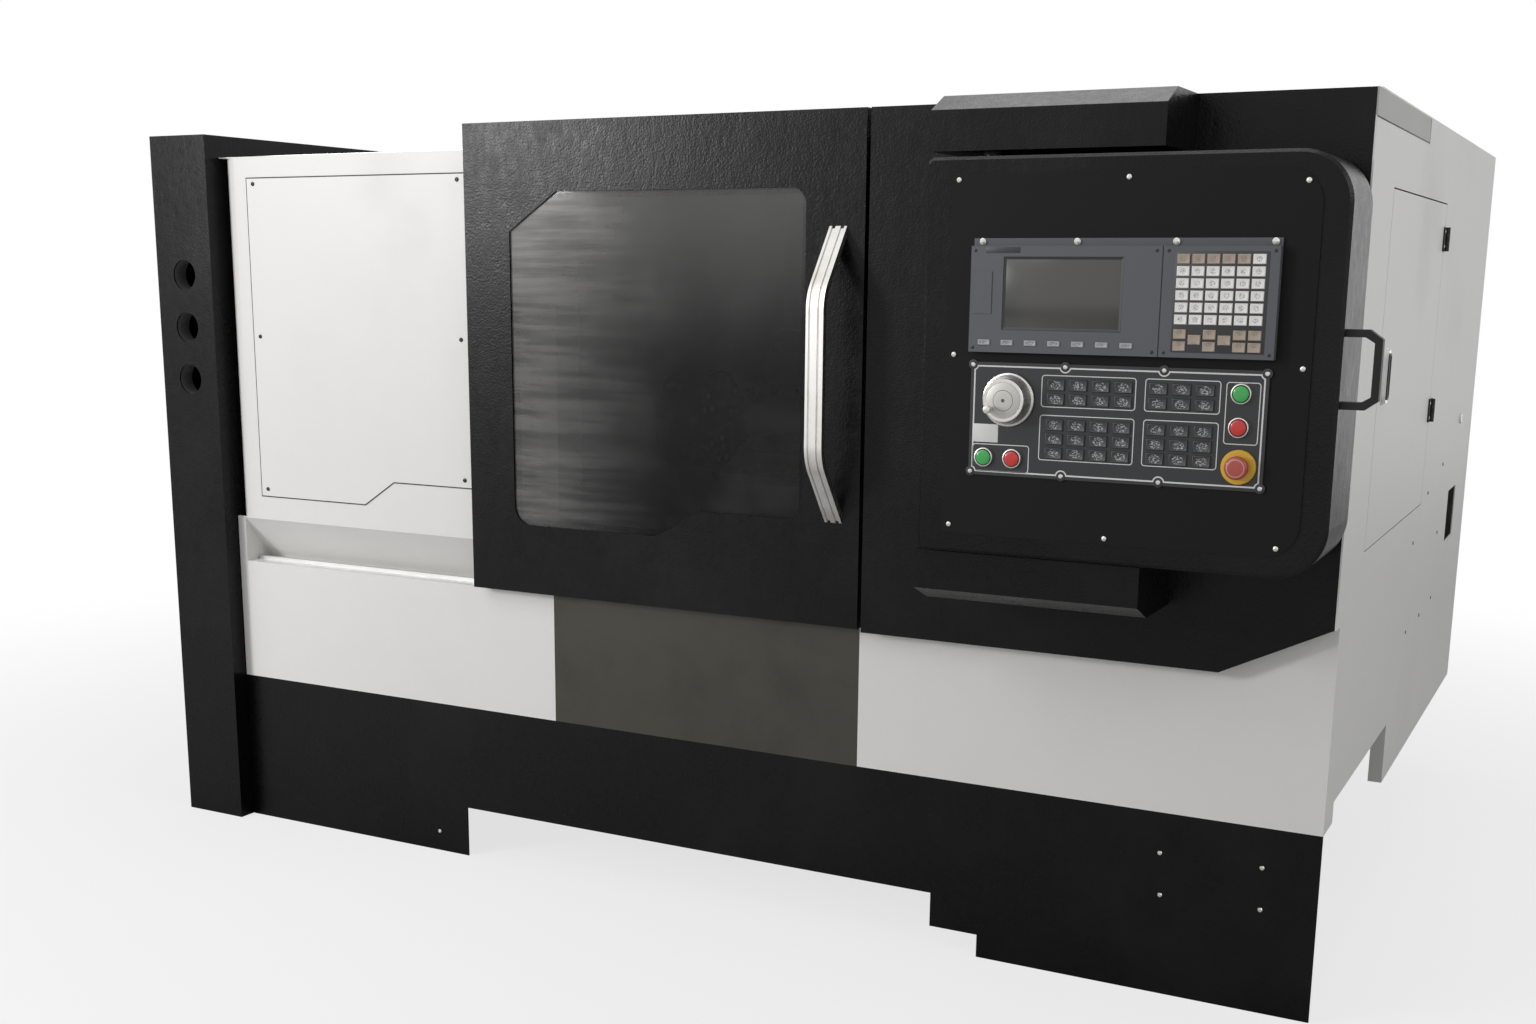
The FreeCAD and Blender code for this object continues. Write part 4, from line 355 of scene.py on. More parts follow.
# ------------------------------------------------------------------ black covers
# Thicker sheet in a black wrinkle finish, which has a fine leather grain and a soft
# sheen: end column, skirt, sliding door with the strip that retains its glass,
# cabinet, hood, bracket and control box.
black = Finish("black_wrinkle_paint", (0.0024, 0.0024, 0.0025), 0.30, Specular_IOR_Level=0.19)
leather = black.node("TexVoronoi", {"feature": "SMOOTH_F1"},
                     {"Vector": black.place(), "Scale": 210.0, "Smoothness": 0.7}, "Distance")
wrinkle = black.noise(330.0, 4.0, 0.6)
stroke = black.noise(30.0, 3.0, 0.55, squeeze=(1.0, 1.0, 0.30))
mottle = black.noise(68.0, 2.0, 0.5, squeeze=(1.0, 1.0, 0.7))
wiped = black.between(black.noise(2.2, 5.0, 0.6), 0.42, 0.72)
black.tint(wiped, (0.0060, 0.0058, 0.0056))
black.set("Roughness", 0.17 + stroke * 0.08 + wiped * 0.05 + mottle * 0.15)
black.bump(leather * 0.7 + wrinkle * 0.45 + stroke * 1.3 + mottle * 0.7, 0.0007, 0.55)
paint(black, "left_column", "front_skirt", "sliding_door", "window_retainer",
      "console_cabinet", "upper_hood", "lower_bracket", "control_box")


# ------------------------------------------------------------------ port sleeves
# Each of the three gauge ports in the end column is lined by a short sleeve of grey
# plastic tube, which is pushed up to the sheet from behind.
sleeve_grey = Finish("sleeve_plastic", (0.105, 0.105, 0.104), 0.50)
sleeve_grey.wear(0.44, 0.14, 80.0)
column_low, column_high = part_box("left_column")
port_drop, port_pitch = 0.347, 0.133
top_port = Vector(((column_low[0] + column_high[0]) / 2, column_low[1],
                   column_high[2] - port_drop))
sleeve = turned([(0.0380, -0.0430), (0.0405, -0.0430), (0.0405, -0.0041), (0.0380, -0.0041)], 48,
                bored=True)
fit(repeat(sleeve, [top_port - Vector((0, 0, port_pitch * i)) for i in range(3)]),
    "port_sleeves", sleeve_grey, "machine")


# ------------------------------------------------------------------ chip apron
# The sheet under the door opening is bare stainless steel, brushed along its length
# and stained by coolant in patches. Its dark brownish grey is a painted reflection of a dark
# floor.
stainless = Finish("brushed_stainless", (0.060, 0.058, 0.048), 0.42, 0.6)
brushed = stainless.noise(60.0, 5.0, 0.7, squeeze=(0.6, 14.0, 14.0))
stain = stainless.between(stainless.noise(3.1, 6.0, 0.65), 0.40, 0.75)
stainless.tint(stain, (0.040, 0.038, 0.030))
stainless.set("Roughness", 0.36 + brushed * 0.14 + stain * 0.10)
stainless.bump(brushed, 0.00012, 0.5)
paint(stainless, "chip_apron")


# ------------------------------------------------------------------ door tracks and hangers
# The door runs along bright drawn-steel tracks, one above and one below. Its hangers
# are bent from zinc-plated steel.
track_steel = Finish("track_steel", (0.72, 0.72, 0.71), 0.42, 0.85)
track_steel.wear(0.38, 0.08, 45.0)
paint(track_steel, "door_tracks")

zinc = Finish("zinc_plate", (0.48, 0.48, 0.46), 0.36, 1.0)
spangle = zinc.node("TexVoronoi", {"feature": "F1"},
                    {"Vector": zinc.place(), "Scale": 120.0}, "Distance")
zinc.set("Roughness", 0.30 + spangle * 0.16)
zinc.tint(spangle, (0.56, 0.56, 0.53))
paint(zinc, "door_hangers")


# ------------------------------------------------------------------ inside metal
# Castings in a pale green-grey enamel, ground and blackened steel, the dark enamel of
# the motors and a rubber belt. They show through the window, the door and the hatch.
enamel = Finish("casting_enamel", (0.40, 0.43, 0.42), 0.42)
lumps = enamel.noise(38.0, 4.0, 0.6)
oily = enamel.between(enamel.noise(5.0, 5.0, 0.6), 0.45, 0.75)
enamel.tint(oily, (0.30, 0.315, 0.29))
enamel.set("Roughness", 0.46 - oily * 0.16)
enamel.bump(lumps, 0.0006, 0.45)
paint(enamel, "bed_casting", "headstock", "carriage", "cross_slide", "turret_housing",
      "tailstock")

guard_paint = Finish("chamber_paint", (0.42, 0.43, 0.425), 0.45)
splashed = guard_paint.between(guard_paint.noise(4.0, 6.0, 0.62), 0.44, 0.70)
guard_paint.tint(splashed, (0.30, 0.30, 0.28))
guard_paint.set("Roughness", 0.48 - splashed * 0.18)
paint(guard_paint, "splash_guard")

ground = Finish("ground_steel", (0.52, 0.52, 0.525), 0.28, 1.0)
lay = ground.noise(90.0, 4.0, 0.7, squeeze=(9.0, 9.0, 9.0))
oil_film = ground.between(ground.noise(14.0, 4.0), 0.45, 0.70)
ground.tint(oil_film, (0.38, 0.37, 0.34))
ground.set("Roughness", 0.22 + lay * 0.10 + oil_film * 0.12)
ground.bump(lay, 0.00006, 0.5)
paint(ground, "spindle", "z_rails", "x_rails", "z_screw", "quill", "live_centre",
      "turret_disc")

blackened = Finish("blackened_steel", (0.10, 0.10, 0.105), 0.34, 1.0)
rubbed = blackened.between(blackened.noise(24.0, 5.0, 0.6), 0.45, 0.78)
blackened.tint(rubbed, (0.26, 0.255, 0.25))
blackened.set("Roughness", 0.30 + rubbed * 0.14)
paint(blackened, "chuck_body", "chuck_jaw_1", "chuck_jaw_2", "chuck_jaw_3", "turret_tools",
      "levelling_feet", "spindle_pulley", "motor_pulley")

motor_enamel = Finish("motor_enamel", (0.035, 0.04, 0.045), 0.38)
motor_enamel.grain(300.0, 0.0003, 0.5)
motor_enamel.wear(0.34, 0.14, 9.0, 4.0)
paint(motor_enamel, "spindle_motor", "z_motor", "x_motor")

rubber = Finish("belt_rubber", (0.016, 0.016, 0.017), 0.62)
rubber.grain(700.0, 0.0002, 0.6)
rubber.wear(0.56, 0.14, 20.0)
paint(rubber, "drive_belt")


# ------------------------------------------------------------------ window
# Laminated, smoke-tinted safety glass behind the door's front sheet. Wiping has
# left a film of haze on it, in level streaks. A pale painted reflection lies over it,
# strongest along the left side and the top.
smoked = Finish("smoked_glass", (0.012, 0.012, 0.012), 0.08, Alpha=0.5,
                Specular_IOR_Level=0.28)
haze = smoked.between(smoked.noise(3.4, 6.0, 0.66), 0.40, 0.78)
wiping = smoked.between(smoked.noise(6.0, 5.0, 0.6, squeeze=(0.5, 1.0, 7.0)), 0.36, 0.66)
# The left side and the top are made paler: a painted reflection laid over the haze.
left_painted_reflection = smoked.between(smoked.along("X"), -0.44, 0.02, 1.0, 0.0)
top_painted_reflection = smoked.between(smoked.along("Z"), 1.22, 1.66)
haze_and_painted_reflection = left_painted_reflection * (0.32 + wiping * 0.28) + top_painted_reflection * 0.42 + haze * 0.10
smoked.tint(haze_and_painted_reflection, (0.320, 0.312, 0.305))
smoked.set("Roughness", 0.06 + haze * 0.10 + wiping * 0.04)
smoked.set("Alpha", 0.44 + haze_and_painted_reflection * 0.46)
paint(smoked, "window_glass")


# ------------------------------------------------------------------ door handle
# Bow handle bent from one flat strip of drawn aluminium, with three ribs and two
# grooves along its front. Its ends are cut flush with the door's sheet.
aluminium = Finish("drawn_aluminium", (0.80, 0.79, 0.77), 0.30, 1.0)
drawn = aluminium.noise(150.0, 4.0, 0.65, squeeze=(12.0, 12.0, 0.5))
handled = aluminium.between(aluminium.noise(11.0, 4.0), 0.42, 0.72)
aluminium.tint(handled, (0.62, 0.60, 0.55))
aluminium.set("Roughness", 0.22 + drawn * 0.14 + handled * 0.10)
aluminium.bump(drawn, 0.00008, 0.5)
(handle_left, handle_front, _), (handle_right, handle_back, _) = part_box("door_handle")
handle_foot, handle_corner, handle_middle = 1.557, 1.421, 1.251
rib, thickness, bend = 0.003, 0.011, 0.090
groove_aside, groove_half = 0.010, 0.0035
leg = Vector((0, handle_front + rib - handle_back, handle_corner - handle_foot))
along, lean = leg.normalized(), math.atan2(handle_back - handle_front - rib,
                                           handle_foot - handle_corner)
outwards = Vector((0, -math.cos(lean), math.sin(lean)))
run_in, bend_run = 0.012, bend * math.tan(lean / 2)
corner = Vector(((handle_left + handle_right) / 2, handle_front + rib, handle_corner))
start = corner - leg - along * run_in
handle = begin(bpy.ops.mesh.primitive_grid_add, x_subdivisions=20, y_subdivisions=1, size=1,
               location=start - outwards * thickness / 2,
               rotation=(math.pi - lean, 0, 0),
               scale=(handle_right - handle_left, thickness, 1))
pick(handle, "VERT", lambda at: (at - start).dot(outwards) > -thickness / 2
     and abs(abs(at.x - corner.x) - groove_aside) > groove_half)
bpy.ops.transform.translate(value=outwards * rib)
bpy.ops.mesh.select_all(action="SELECT")
bpy.ops.mesh.extrude_region_move(
    TRANSFORM_OT_translate={"value": along * (leg.length + run_in - bend_run)})
bpy.ops.mesh.spin(steps=12, angle=-lean, axis=(1, 0, 0),
                  center=corner - along * bend_run - outwards * bend)
straight = 2 * (handle_corner - handle_middle)
bpy.ops.mesh.extrude_region_move(
    TRANSFORM_OT_translate={"value": (0, 0, bend_run * 2 - straight)})
bpy.ops.mesh.spin(steps=12, angle=-lean, axis=(1, 0, 0),
                  center=corner + Vector((0, bend, bend_run - straight)))
bpy.ops.mesh.extrude_region_move(TRANSFORM_OT_translate={
    "value": Vector((0, -along.y, along.z)) * (leg.length + run_in - bend_run)})
bpy.ops.mesh.select_all(action="SELECT")
bpy.ops.mesh.remove_doubles(threshold=1e-6)
bpy.ops.mesh.bisect(plane_co=(0, handle_back, 0), plane_no=(0, 1, 0), clear_outer=True,
                    use_fill=True)
face_outwards()
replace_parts(fit(handle, "bow_handle", aluminium, "door", 25), "door_handle")


# ------------------------------------------------------------------ pull handle
# Small bow of black moulded plastic on the control box's right edge, to swing it by.
# The hatch's two hinges are moulded in the same plastic.
moulded = Finish("black_plastic", (0.010, 0.010, 0.011), 0.45, Specular_IOR_Level=0.28)
moulded.grain(900.0, 0.00012, 0.6)
moulded.wear(0.40, 0.12, 25.0)
paint(moulded, "pull_handle", "hatch_hinges")


# ------------------------------------------------------------------ face plate
# Steel sheet in a fine, dull black powder coat, which closes the front of the control
# box. Eight zinc-plated dome-head screws hold it.
face_paint = Finish("face_powder_coat", (0.0085, 0.0084, 0.0084), 0.46,
                    Specular_IOR_Level=0.12)
face_grain = face_paint.noise(520.0, 3.0, 0.6)
face_paint.bump(face_grain, 0.00028, 0.55)
face_paint.wear(0.43, 0.10, 7.0, 4.0)
paint(face_paint, "front_plate")

bright_screw = Finish("zinc_screw", (0.66, 0.65, 0.62), 0.26, 1.0)
bright_screw.wear(0.22, 0.14, 120.0)
face_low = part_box("front_plate")[0]
dome_head = turned([(0.0052, 0.0), (0.0052, 0.0010), (0.0046, 0.0024), (0.0031, 0.0035),
                    (0.0022, 0.0038), (0.0020, 0.0022)], 20)
screws = repeat(dome_head, [(x, face_low[1], z) for x, z in (
    (0.7765, 1.636), (1.0955, 1.636), (1.4035, 1.625), (0.7765, 1.318), (1.4155, 1.311),
    (0.7765, 0.996), (1.0825, 0.991), (1.3915, 0.997))])
fit(screws, "face_plate_screws", bright_screw, "console")


# ------------------------------------------------------------------ display unit
# Moulded grey-blue unit with the screen's glass behind its frame and a bare label strip.
# Four nuts stand along its top flange. Small screws hold the corners of its two halves.
display_grey = Finish("display_plastic", (0.088, 0.092, 0.103), 0.50)
display_grey.grain(1100.0, 0.00012, 0.6)
display_grey.wear(0.46, 0.10, 14.0)
paint(display_grey, "display_unit")


def slab(low, high, edge, segments=2):
    """A flat piece between two corners, its edges rounded over."""
    low, high = Vector(low), Vector(high)
    piece = begin(bpy.ops.mesh.primitive_cube_add, size=1, location=(low + high) / 2,
                  scale=high - low)
    bpy.ops.mesh.bevel(offset=edge, segments=segments, affect="EDGES")
    bpy.ops.object.mode_set(mode="OBJECT")
    return piece


def key_cap(width, height, rise, edge, dish):
    """A key at the origin: its sides lean in, its rim is rounded and its face is dished."""
    piece = begin(bpy.ops.mesh.primitive_cube_add, size=1, location=(0, -rise / 2, 0),
                  scale=(width, rise, height))
    pick(piece, "FACE", lambda at: at.y < -rise * 0.9)
    lean = 1 - edge * 1.2 / height
    bpy.ops.transform.resize(value=(1 - edge * 1.2 / width, 1, lean),
                             center_override=(0, -rise, 0))
    bpy.ops.mesh.bevel(offset=edge, segments=3, affect="EDGES")
    pick(piece, "FACE", lambda at: at.y < -rise * 0.99)
    bpy.ops.mesh.inset(thickness=edge * 0.8)
    bpy.ops.transform.translate(value=(0, dish, 0))
    bpy.ops.object.mode_set(mode="OBJECT")
    return piece


display_low, display_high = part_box("display_unit")
display_left, display_bottom = display_low[0], display_low[2]
display_face = face_low[1] - 0.018

screen = Finish("screen_glass", (0.066, 0.064, 0.057), 0.16, Coat_Weight=0.3)
# The screen darkens towards its left edge: a painted shadow of the recess round it.
left_painted_shadow = screen.between(screen.along("X", shift=(-display_left, 0, 0)), 0.062, 0.120)
screen.tint(left_painted_shadow, screen.colour, under=(0.046, 0.046, 0.042))
screen.wear(0.12, 0.10, 9.0, 4.0)
glass_left, glass_low = display_left + 0.0635, display_bottom + 0.0415
glass_width, glass_height = 0.223, 0.131
pane = slab((glass_left, display_face + 0.0026, glass_low),
            (glass_left + glass_width, display_face + 0.0046, glass_low + glass_height),
            0.0008)
fit(pane, "screen_glass", screen, "console")

dark_plastic = Finish("dark_moulding", (0.030, 0.031, 0.034), 0.42)
dark_plastic.grain(1100.0, 0.0001, 0.5)
dark_plastic.wear(0.38, 0.12, 20.0)
screen_frame = begin(bpy.ops.mesh.primitive_plane_add, size=1, rotation=FACING_FRONT,
                     location=(glass_left + glass_width / 2, display_face + 0.0006,
                               glass_low + glass_height / 2),
                     scale=(glass_width, glass_height, 1))
bpy.ops.mesh.inset(thickness=0.0045)
bpy.ops.transform.translate(value=(0, 0.0020, 0))
bpy.ops.mesh.delete(type="FACE")
fit(screen_frame, "screen_frame", dark_plastic, "console")
label_strip = slab((display_left + 0.028, display_face - 0.0005, display_bottom + 0.1795),
                   (display_left + 0.094, display_face + 0.0003, display_bottom + 0.1900), 0.0002)
fit(label_strip, "bare_label_strip", dark_plastic, "console")
tray = slab((display_left + 0.378, display_face - 0.0006, display_bottom + 0.009),
            (display_left + 0.540, display_face + 0.0003, display_bottom + 0.183), 0.0003)
fit(tray, "keypad_tray", dark_plastic, "console")

corner_screw = turned([(0.0030, 0.0), (0.0030, 0.0007), (0.0024, 0.0010), (0.0015, 0.0010),
                       (0.0014, 0.0003)], 16)
screws = repeat(corner_screw, [
    (display_left + x, display_face, display_bottom + z)
    for x in (0.008, 0.345, 0.366, 0.549) for z in (0.008, 0.184)])
fit(screws, "display_corner_screws", black_screw, "console")

flange_nut = turned([(0.0062, 0.0), (0.0062, 0.0010), (0.0050, 0.0012), (0.0050, 0.0044),
                     (0.0040, 0.0052), (0.0026, 0.0052), (0.0026, 0.0068), (0.0018, 0.0074)], 18)
nuts = repeat(flange_nut, [(display_left + x, face_low[1] - 0.004, display_high[2] - 0.006)
                           for x in (0.0165, 0.196, 0.375, 0.545)])
fit(nuts, "display_flange_nuts", bright_screw, "console")


# ------------------------------------------------------------------ keypad
# Moulded keys in a dark tray: five white rows, a tan row with one white key over them,
# and tan keys below. Each bears small dark marks. Seven pale soft keys lie under the
# screen.
def key_marks(finish, marks, first, pitch, spread, bits):
    """Print small marks in the middle of each key, bits to a metre, on the finish's colour."""
    cell = {}
    for axis, step in (("X", pitch[0]), ("Z", pitch[1])):
        steps = finish.along(axis, shift=(-first[0], 0, -first[1])) / step
        cell[axis] = finish.maths("FRACT", steps + 0.5) - 0.5
    inside = ((cell["X"] * cell["X"]) / spread[0] ** 2
              + (cell["Z"] * cell["Z"]) / spread[1] ** 2) < 1.0
    strokes = finish.noise(bits, 3.0, 0.6, squeeze=(1.0, 0.01, 1.6)) > 0.535
    finish.tint(inside * strokes, marks)


white_key = Finish("white_key", (0.88, 0.86, 0.84), 0.34)
white_key.wear(0.30, 0.12, 40.0)
tan_key = Finish("tan_key", (0.41, 0.335, 0.265), 0.36)
tan_key.wear(0.32, 0.12, 40.0)
keypad_x, keypad_z = display_left + 0.393, display_bottom + 0.066
key_pitch, row_pitch, rows_high = 0.026, 0.0208, 5
for key_finish, marks in ((white_key, (0.26, 0.25, 0.25)), (tan_key, (0.20, 0.15, 0.11))):
    key_marks(key_finish, marks, (keypad_x, keypad_z), (key_pitch, row_pitch), (0.20, 0.24),
              520.0)
menu_z, cursor_z = display_bottom + 0.020, display_bottom + 0.0315
cap_size = (0.0226, 0.0172, 0.0030, 0.0011, 0.0004)
top_row = keypad_z + row_pitch * rows_high
white_places = [(keypad_x + key_pitch * i, display_face, keypad_z + row_pitch * j)
                for i in range(6) for j in range(rows_high)]
white_places.append((keypad_x + key_pitch * 5, display_face, top_row))
fit(repeat(key_cap(*cap_size), white_places), "white_keys", white_key, "console")
tan_places = [(keypad_x + key_pitch * i, display_face, top_row) for i in range(5)]
tan_places += [(keypad_x + key_pitch * i, display_face, menu_z + row_pitch * j)
               for i in (0, 2, 4, 5) for j in range(2)]
tan_places += [(keypad_x + key_pitch * i, display_face, cursor_z) for i in (1, 3)]
fit(repeat(key_cap(*cap_size), tan_places), "tan_keys", tan_key, "console")

soft_key = Finish("pale_soft_key", (0.40, 0.41, 0.42), 0.38)
soft_key.wear(0.34, 0.12, 40.0)
soft_x, soft_z, soft_pitch = display_left + 0.030, display_bottom + 0.018, 0.0447
key_marks(soft_key, (0.08, 0.08, 0.085), (soft_x, soft_z), (soft_pitch, row_pitch),
          (0.19, 0.16), 520.0)
soft_places = [(soft_x + soft_pitch * i, display_face, soft_z) for i in range(7)]
fit(repeat(key_cap(0.0232, 0.0100, 0.0028, 0.0010, 0.0004), soft_places), "soft_keys", soft_key,
    "console")


# ------------------------------------------------------------------ operator panel keys
# Panel under a dark plastic film, with black moulded keys in four fields. Each key bears
# a few pale strokes.
film_black = Finish("panel_film", (0.022, 0.023, 0.025), 0.34)
film_black.grain(1500.0, 0.00005, 0.5)
film_black.wear(0.30, 0.12, 9.0, 4.0)
paint(film_black, "operator_panel")

panel_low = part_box("operator_panel")[0]
panel_left, panel_bottom = panel_low[0], panel_low[2]
panel_face = face_low[1] - 0.003
left_x, right_x, lower_z, upper_z = 0.166, 0.355, 0.048, 0.147
panel_key_pitch, panel_row_pitch = 0.042, 0.026
for name, key_x, columns, key_z, rows in (
        ("upper_left", left_x, 4, upper_z, 2), ("upper_right", right_x, 3, upper_z, 2),
        ("lower_left", left_x, 4, lower_z, 3), ("lower_right", right_x, 3, lower_z, 3)):
    field_finish = Finish(f"{name}_key_print", (0.034, 0.035, 0.037), 0.36)
    field_finish.wear(0.32, 0.12, 40.0)
    first_x, first_z = panel_left + key_x, panel_bottom + key_z
    key_marks(field_finish, (0.42, 0.42, 0.43), (first_x, first_z),
              (panel_key_pitch, panel_row_pitch), (0.24, 0.30), 260.0)
    places = [(first_x + panel_key_pitch * i, panel_face, first_z + panel_row_pitch * j)
              for i in range(columns) for j in range(rows)]
    fit(repeat(key_cap(0.0334, 0.0212, 0.0032, 0.0012, 0.0005), places), f"{name}_keys",
        field_finish, "console")


# ------------------------------------------------------------------ panel print
# White lines printed on the panel's film: a border, and a rounded box round each
# field. The border turns inwards round the eight screws that hold the panel.
def outline(low, high, round_by, line, name):
    """A printed rounded box between two corners of the panel, as a thin raised ring."""
    low, high = Vector(low), Vector(high)
    piece = begin(bpy.ops.mesh.primitive_plane_add, size=1, rotation=FACING_FRONT,
                  location=(panel_left + (low.x + high.x) / 2, panel_face + 0.0001,
                            panel_bottom + (low.y + high.y) / 2),
                  scale=(high.x - low.x, high.y - low.y, 1))
    bpy.ops.mesh.bevel(offset=round_by, segments=6, affect="VERTICES")
    ring(line, (0, -print_thickness, 0))
    return fit(piece, name, print_white, "console")


print_thickness = 0.0003
print_white = Finish("white_print", (0.70, 0.70, 0.69), 0.45)
print_white.wear(0.40, 0.14, 60.0)
border_low, border_high = (0.006, 0.006), (0.542, 0.205)
outline(border_low, border_high, 0.004, 0.0028, "panel_border")
for name, low, high in (
        ("upper_left", (0.138, 0.132), (0.315, 0.191)),
        ("upper_right", (0.331, 0.132), (0.466, 0.191)),
        ("lower_left", (0.137, 0.034), (0.315, 0.118)),
        ("lower_right", (0.331, 0.034), (0.466, 0.118)),
        ("start_and_stop", (0.475, 0.081), (0.535, 0.190)),
        ("power", (0.0075, 0.0075), (0.119, 0.059))):
    outline(low, high, 0.006, 0.0016, f"{name}_outline")

screw_places = [(x, z) for x in (0.004, 0.182, 0.364, 0.544) for z in (0.006, 0.206)]
for i, (x, z) in enumerate(screw_places):
    notch = turned([(0.0088, 0.0), (0.0112, 0.0), (0.0112, 0.0006), (0.0088, 0.0006)], 40,
                   bored=True)
    notch.location += Vector((panel_left + x, panel_face, panel_bottom + z))
    bpy.ops.object.mode_set(mode="EDIT")
    for axis, side in ((0, 1), (2, 1), (0, -1), (2, -1)):
        limit = (border_low if side > 0 else border_high)[axis // 2]
        point, normal = Vector((panel_left, 0, panel_bottom)), Vector()
        point[axis] += limit
        normal[axis] = side
        bpy.ops.mesh.select_all(action="SELECT")
        bpy.ops.mesh.bisect(plane_co=point, plane_no=normal, clear_inner=True, use_fill=True)
    fit(notch, f"notch_{i + 1}", print_white, "console")
patch = turned([(0.0090, 0.0), (0.0090, 0.0005), (0.0086, 0.0006)], 32)
places = [(panel_left + x, panel_face, panel_bottom + z) for x, z in screw_places]
fit(repeat(patch, places), "screw_seats", film_black, "console")
pan_head = turned([(0.0044, 0.0005), (0.0044, 0.0013), (0.0036, 0.0024), (0.0018, 0.0026),
                   (0.0016, 0.0014)], 20)
fit(repeat(pan_head, places), "panel_screws", bright_screw, "console")
bare_plate = slab((panel_left + 0.007, panel_face - 0.0008, panel_bottom + 0.062),
                  (panel_left + 0.057, panel_face + 0.0001, panel_bottom + 0.096), 0.0003)
fit(bare_plate, "bare_plate", print_white, "console")


# ------------------------------------------------------------------ push buttons
# Green and red domed caps in bright bezel rings, and the emergency stop: a red
# mushroom head with a pale printed ring, over a yellow collar.
green = Finish("green_plastic", (0.045, 0.40, 0.085), 0.28, Coat_Weight=0.3)
green.wear(0.24, 0.12, 60.0)
red = Finish("red_plastic", (0.58, 0.030, 0.026), 0.28, Coat_Weight=0.3)
red.wear(0.24, 0.12, 60.0)

bezel_ring = turned([(0.0147, 0.0002), (0.0186, 0.0002), (0.0186, 0.0046), (0.0176, 0.0064),
                     (0.0160, 0.0068), (0.0150, 0.0058)], 40, bored=True)
caps = (("start_button", green, "start_cap"), ("stop_button", red, "stop_cap"),
        ("power_on_button", green, "power_on_cap"), ("power_off_button", red, "power_off_cap"))
middles = {}
for node in (*(cap[0] for cap in caps), "emergency_stop", "handwheel"):
    low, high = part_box(node)
    middles[node] = Vector(((low[0] + high[0]) / 2, panel_face, (low[2] + high[2]) / 2))
fit(repeat(bezel_ring, [middles[node] for node, _, _ in caps]), "button_bezels", bright_screw,
    "console")
for node, cap_finish, body in caps:
    cap = turned([(0.0138, -0.0295), (0.0138, 0.0066), (0.0133, 0.0078), (0.0118, 0.0085),
                  (0.0085, 0.0089), (0.0035, 0.0090)], 36)
    cap.location += middles[node]
    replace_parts(fit(cap, f"{node}_cap", cap_finish, body), node)

yellow = Finish("yellow_plastic", (0.72, 0.42, 0.035), 0.34)
yellow.wear(0.30, 0.12, 60.0)
collar = turned([(0.0122, 0.0002), (0.0306, 0.0002), (0.0306, 0.0052), (0.0296, 0.0064),
                 (0.0280, 0.0068), (0.0122, 0.0068)], 48, bored=True)
stop_at = middles["emergency_stop"]
collar.location += stop_at
fit(collar, "emergency_collar", yellow, "console")
mushroom = turned([(0.0106, -0.0295), (0.0106, 0.0130), (0.0130, 0.0150), (0.0190, 0.0157),
                   (0.0208, 0.0174), (0.0209, 0.0214), (0.0200, 0.0245), (0.0180, 0.0265),
                   (0.0150, 0.0275), (0.0100, 0.0279), (0.0040, 0.0280)], 48)
mushroom.location += stop_at
faded_red = Finish("faded_red_plastic", (0.42, 0.075, 0.055), 0.32, Coat_Weight=0.2)
from_middle = faded_red.reach(shift=(-stop_at.x, 0, -stop_at.z), squeeze=(1, 0, 1))
ring_print = (from_middle > 0.0142) * (from_middle < 0.0160)
faded_red.tint(ring_print, (0.55, 0.30, 0.27))
faded_red.wear(0.28, 0.14, 60.0)
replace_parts(fit(mushroom, "emergency_mushroom", faded_red, "emergency_head"), "emergency_stop")


# ------------------------------------------------------------------ pulse dial
# Turned aluminium hand dial: a flared body with a hundred engraved divisions, a flat
# face with a bare plate, and a small knob to wind it by.
dial_at = middles["handwheel"]
to_dial = (-dial_at.x, 0, -dial_at.z)
divided = Finish("divided_aluminium", (0.66, 0.65, 0.62), 0.30, 1.0)
turn = divided.maths("ARCTAN2", divided.along("X", shift=to_dial),
                     divided.along("Z", shift=to_dial))
divisions = turn * (100 / math.tau) + 200.0
out_by = divided.reach(shift=to_dial, squeeze=(1, 0, 1))
division = (divided.maths("FRACT", divisions) < 0.16) * (out_by > 0.0462) * (out_by < 0.0490)
divided.tint(division, (0.03, 0.03, 0.03))
divided.wear(0.22, 0.14, 260.0)
dial = turned([(0.0078, -0.0295), (0.0078, 0.0006), (0.0490, 0.0006), (0.0499, 0.0016),
               (0.0499, 0.0060), (0.0492, 0.0070), (0.0460, 0.0078), (0.0432, 0.0130),
               (0.0412, 0.0220), (0.0402, 0.0300), (0.0396, 0.0328), (0.0384, 0.0338),
               (0.0340, 0.0338), (0.0332, 0.0332), (0.0180, 0.0332)], 96)
dial.location += dial_at
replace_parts(fit(dial, "pulse_dial_wheel", divided, "pulse_dial"), "handwheel")
dial_face = Finish("dial_face_metal", (0.52, 0.51, 0.48), 0.38, 0.5)
out_by = dial_face.reach(shift=to_dial, squeeze=(1, 0, 1))
plate_edge = (out_by > 0.0185) * (out_by < 0.0195) + (out_by < 0.0035)
dial_face.tint(plate_edge, (0.10, 0.10, 0.10))
dial_face.wear(0.34, 0.14, 60.0)
face_disc = turned([(0.0330, 0.0330), (0.0330, 0.0337), (0.0325, 0.0339), (0.0080, 0.0339)], 72)
face_disc.location += dial_at
fit(face_disc, "pulse_dial_face", dial_face, "pulse_dial")
knob = turned([(0.0034, 0.0330), (0.0034, 0.0370), (0.0050, 0.0382), (0.0064, 0.0430),
               (0.0074, 0.0490), (0.0076, 0.0530), (0.0066, 0.0552), (0.0030, 0.0559)], 32)
knob.location += dial_at + Vector((-0.024, 0, -0.016))
fit(knob, "pulse_dial_knob", divided, "pulse_dial")


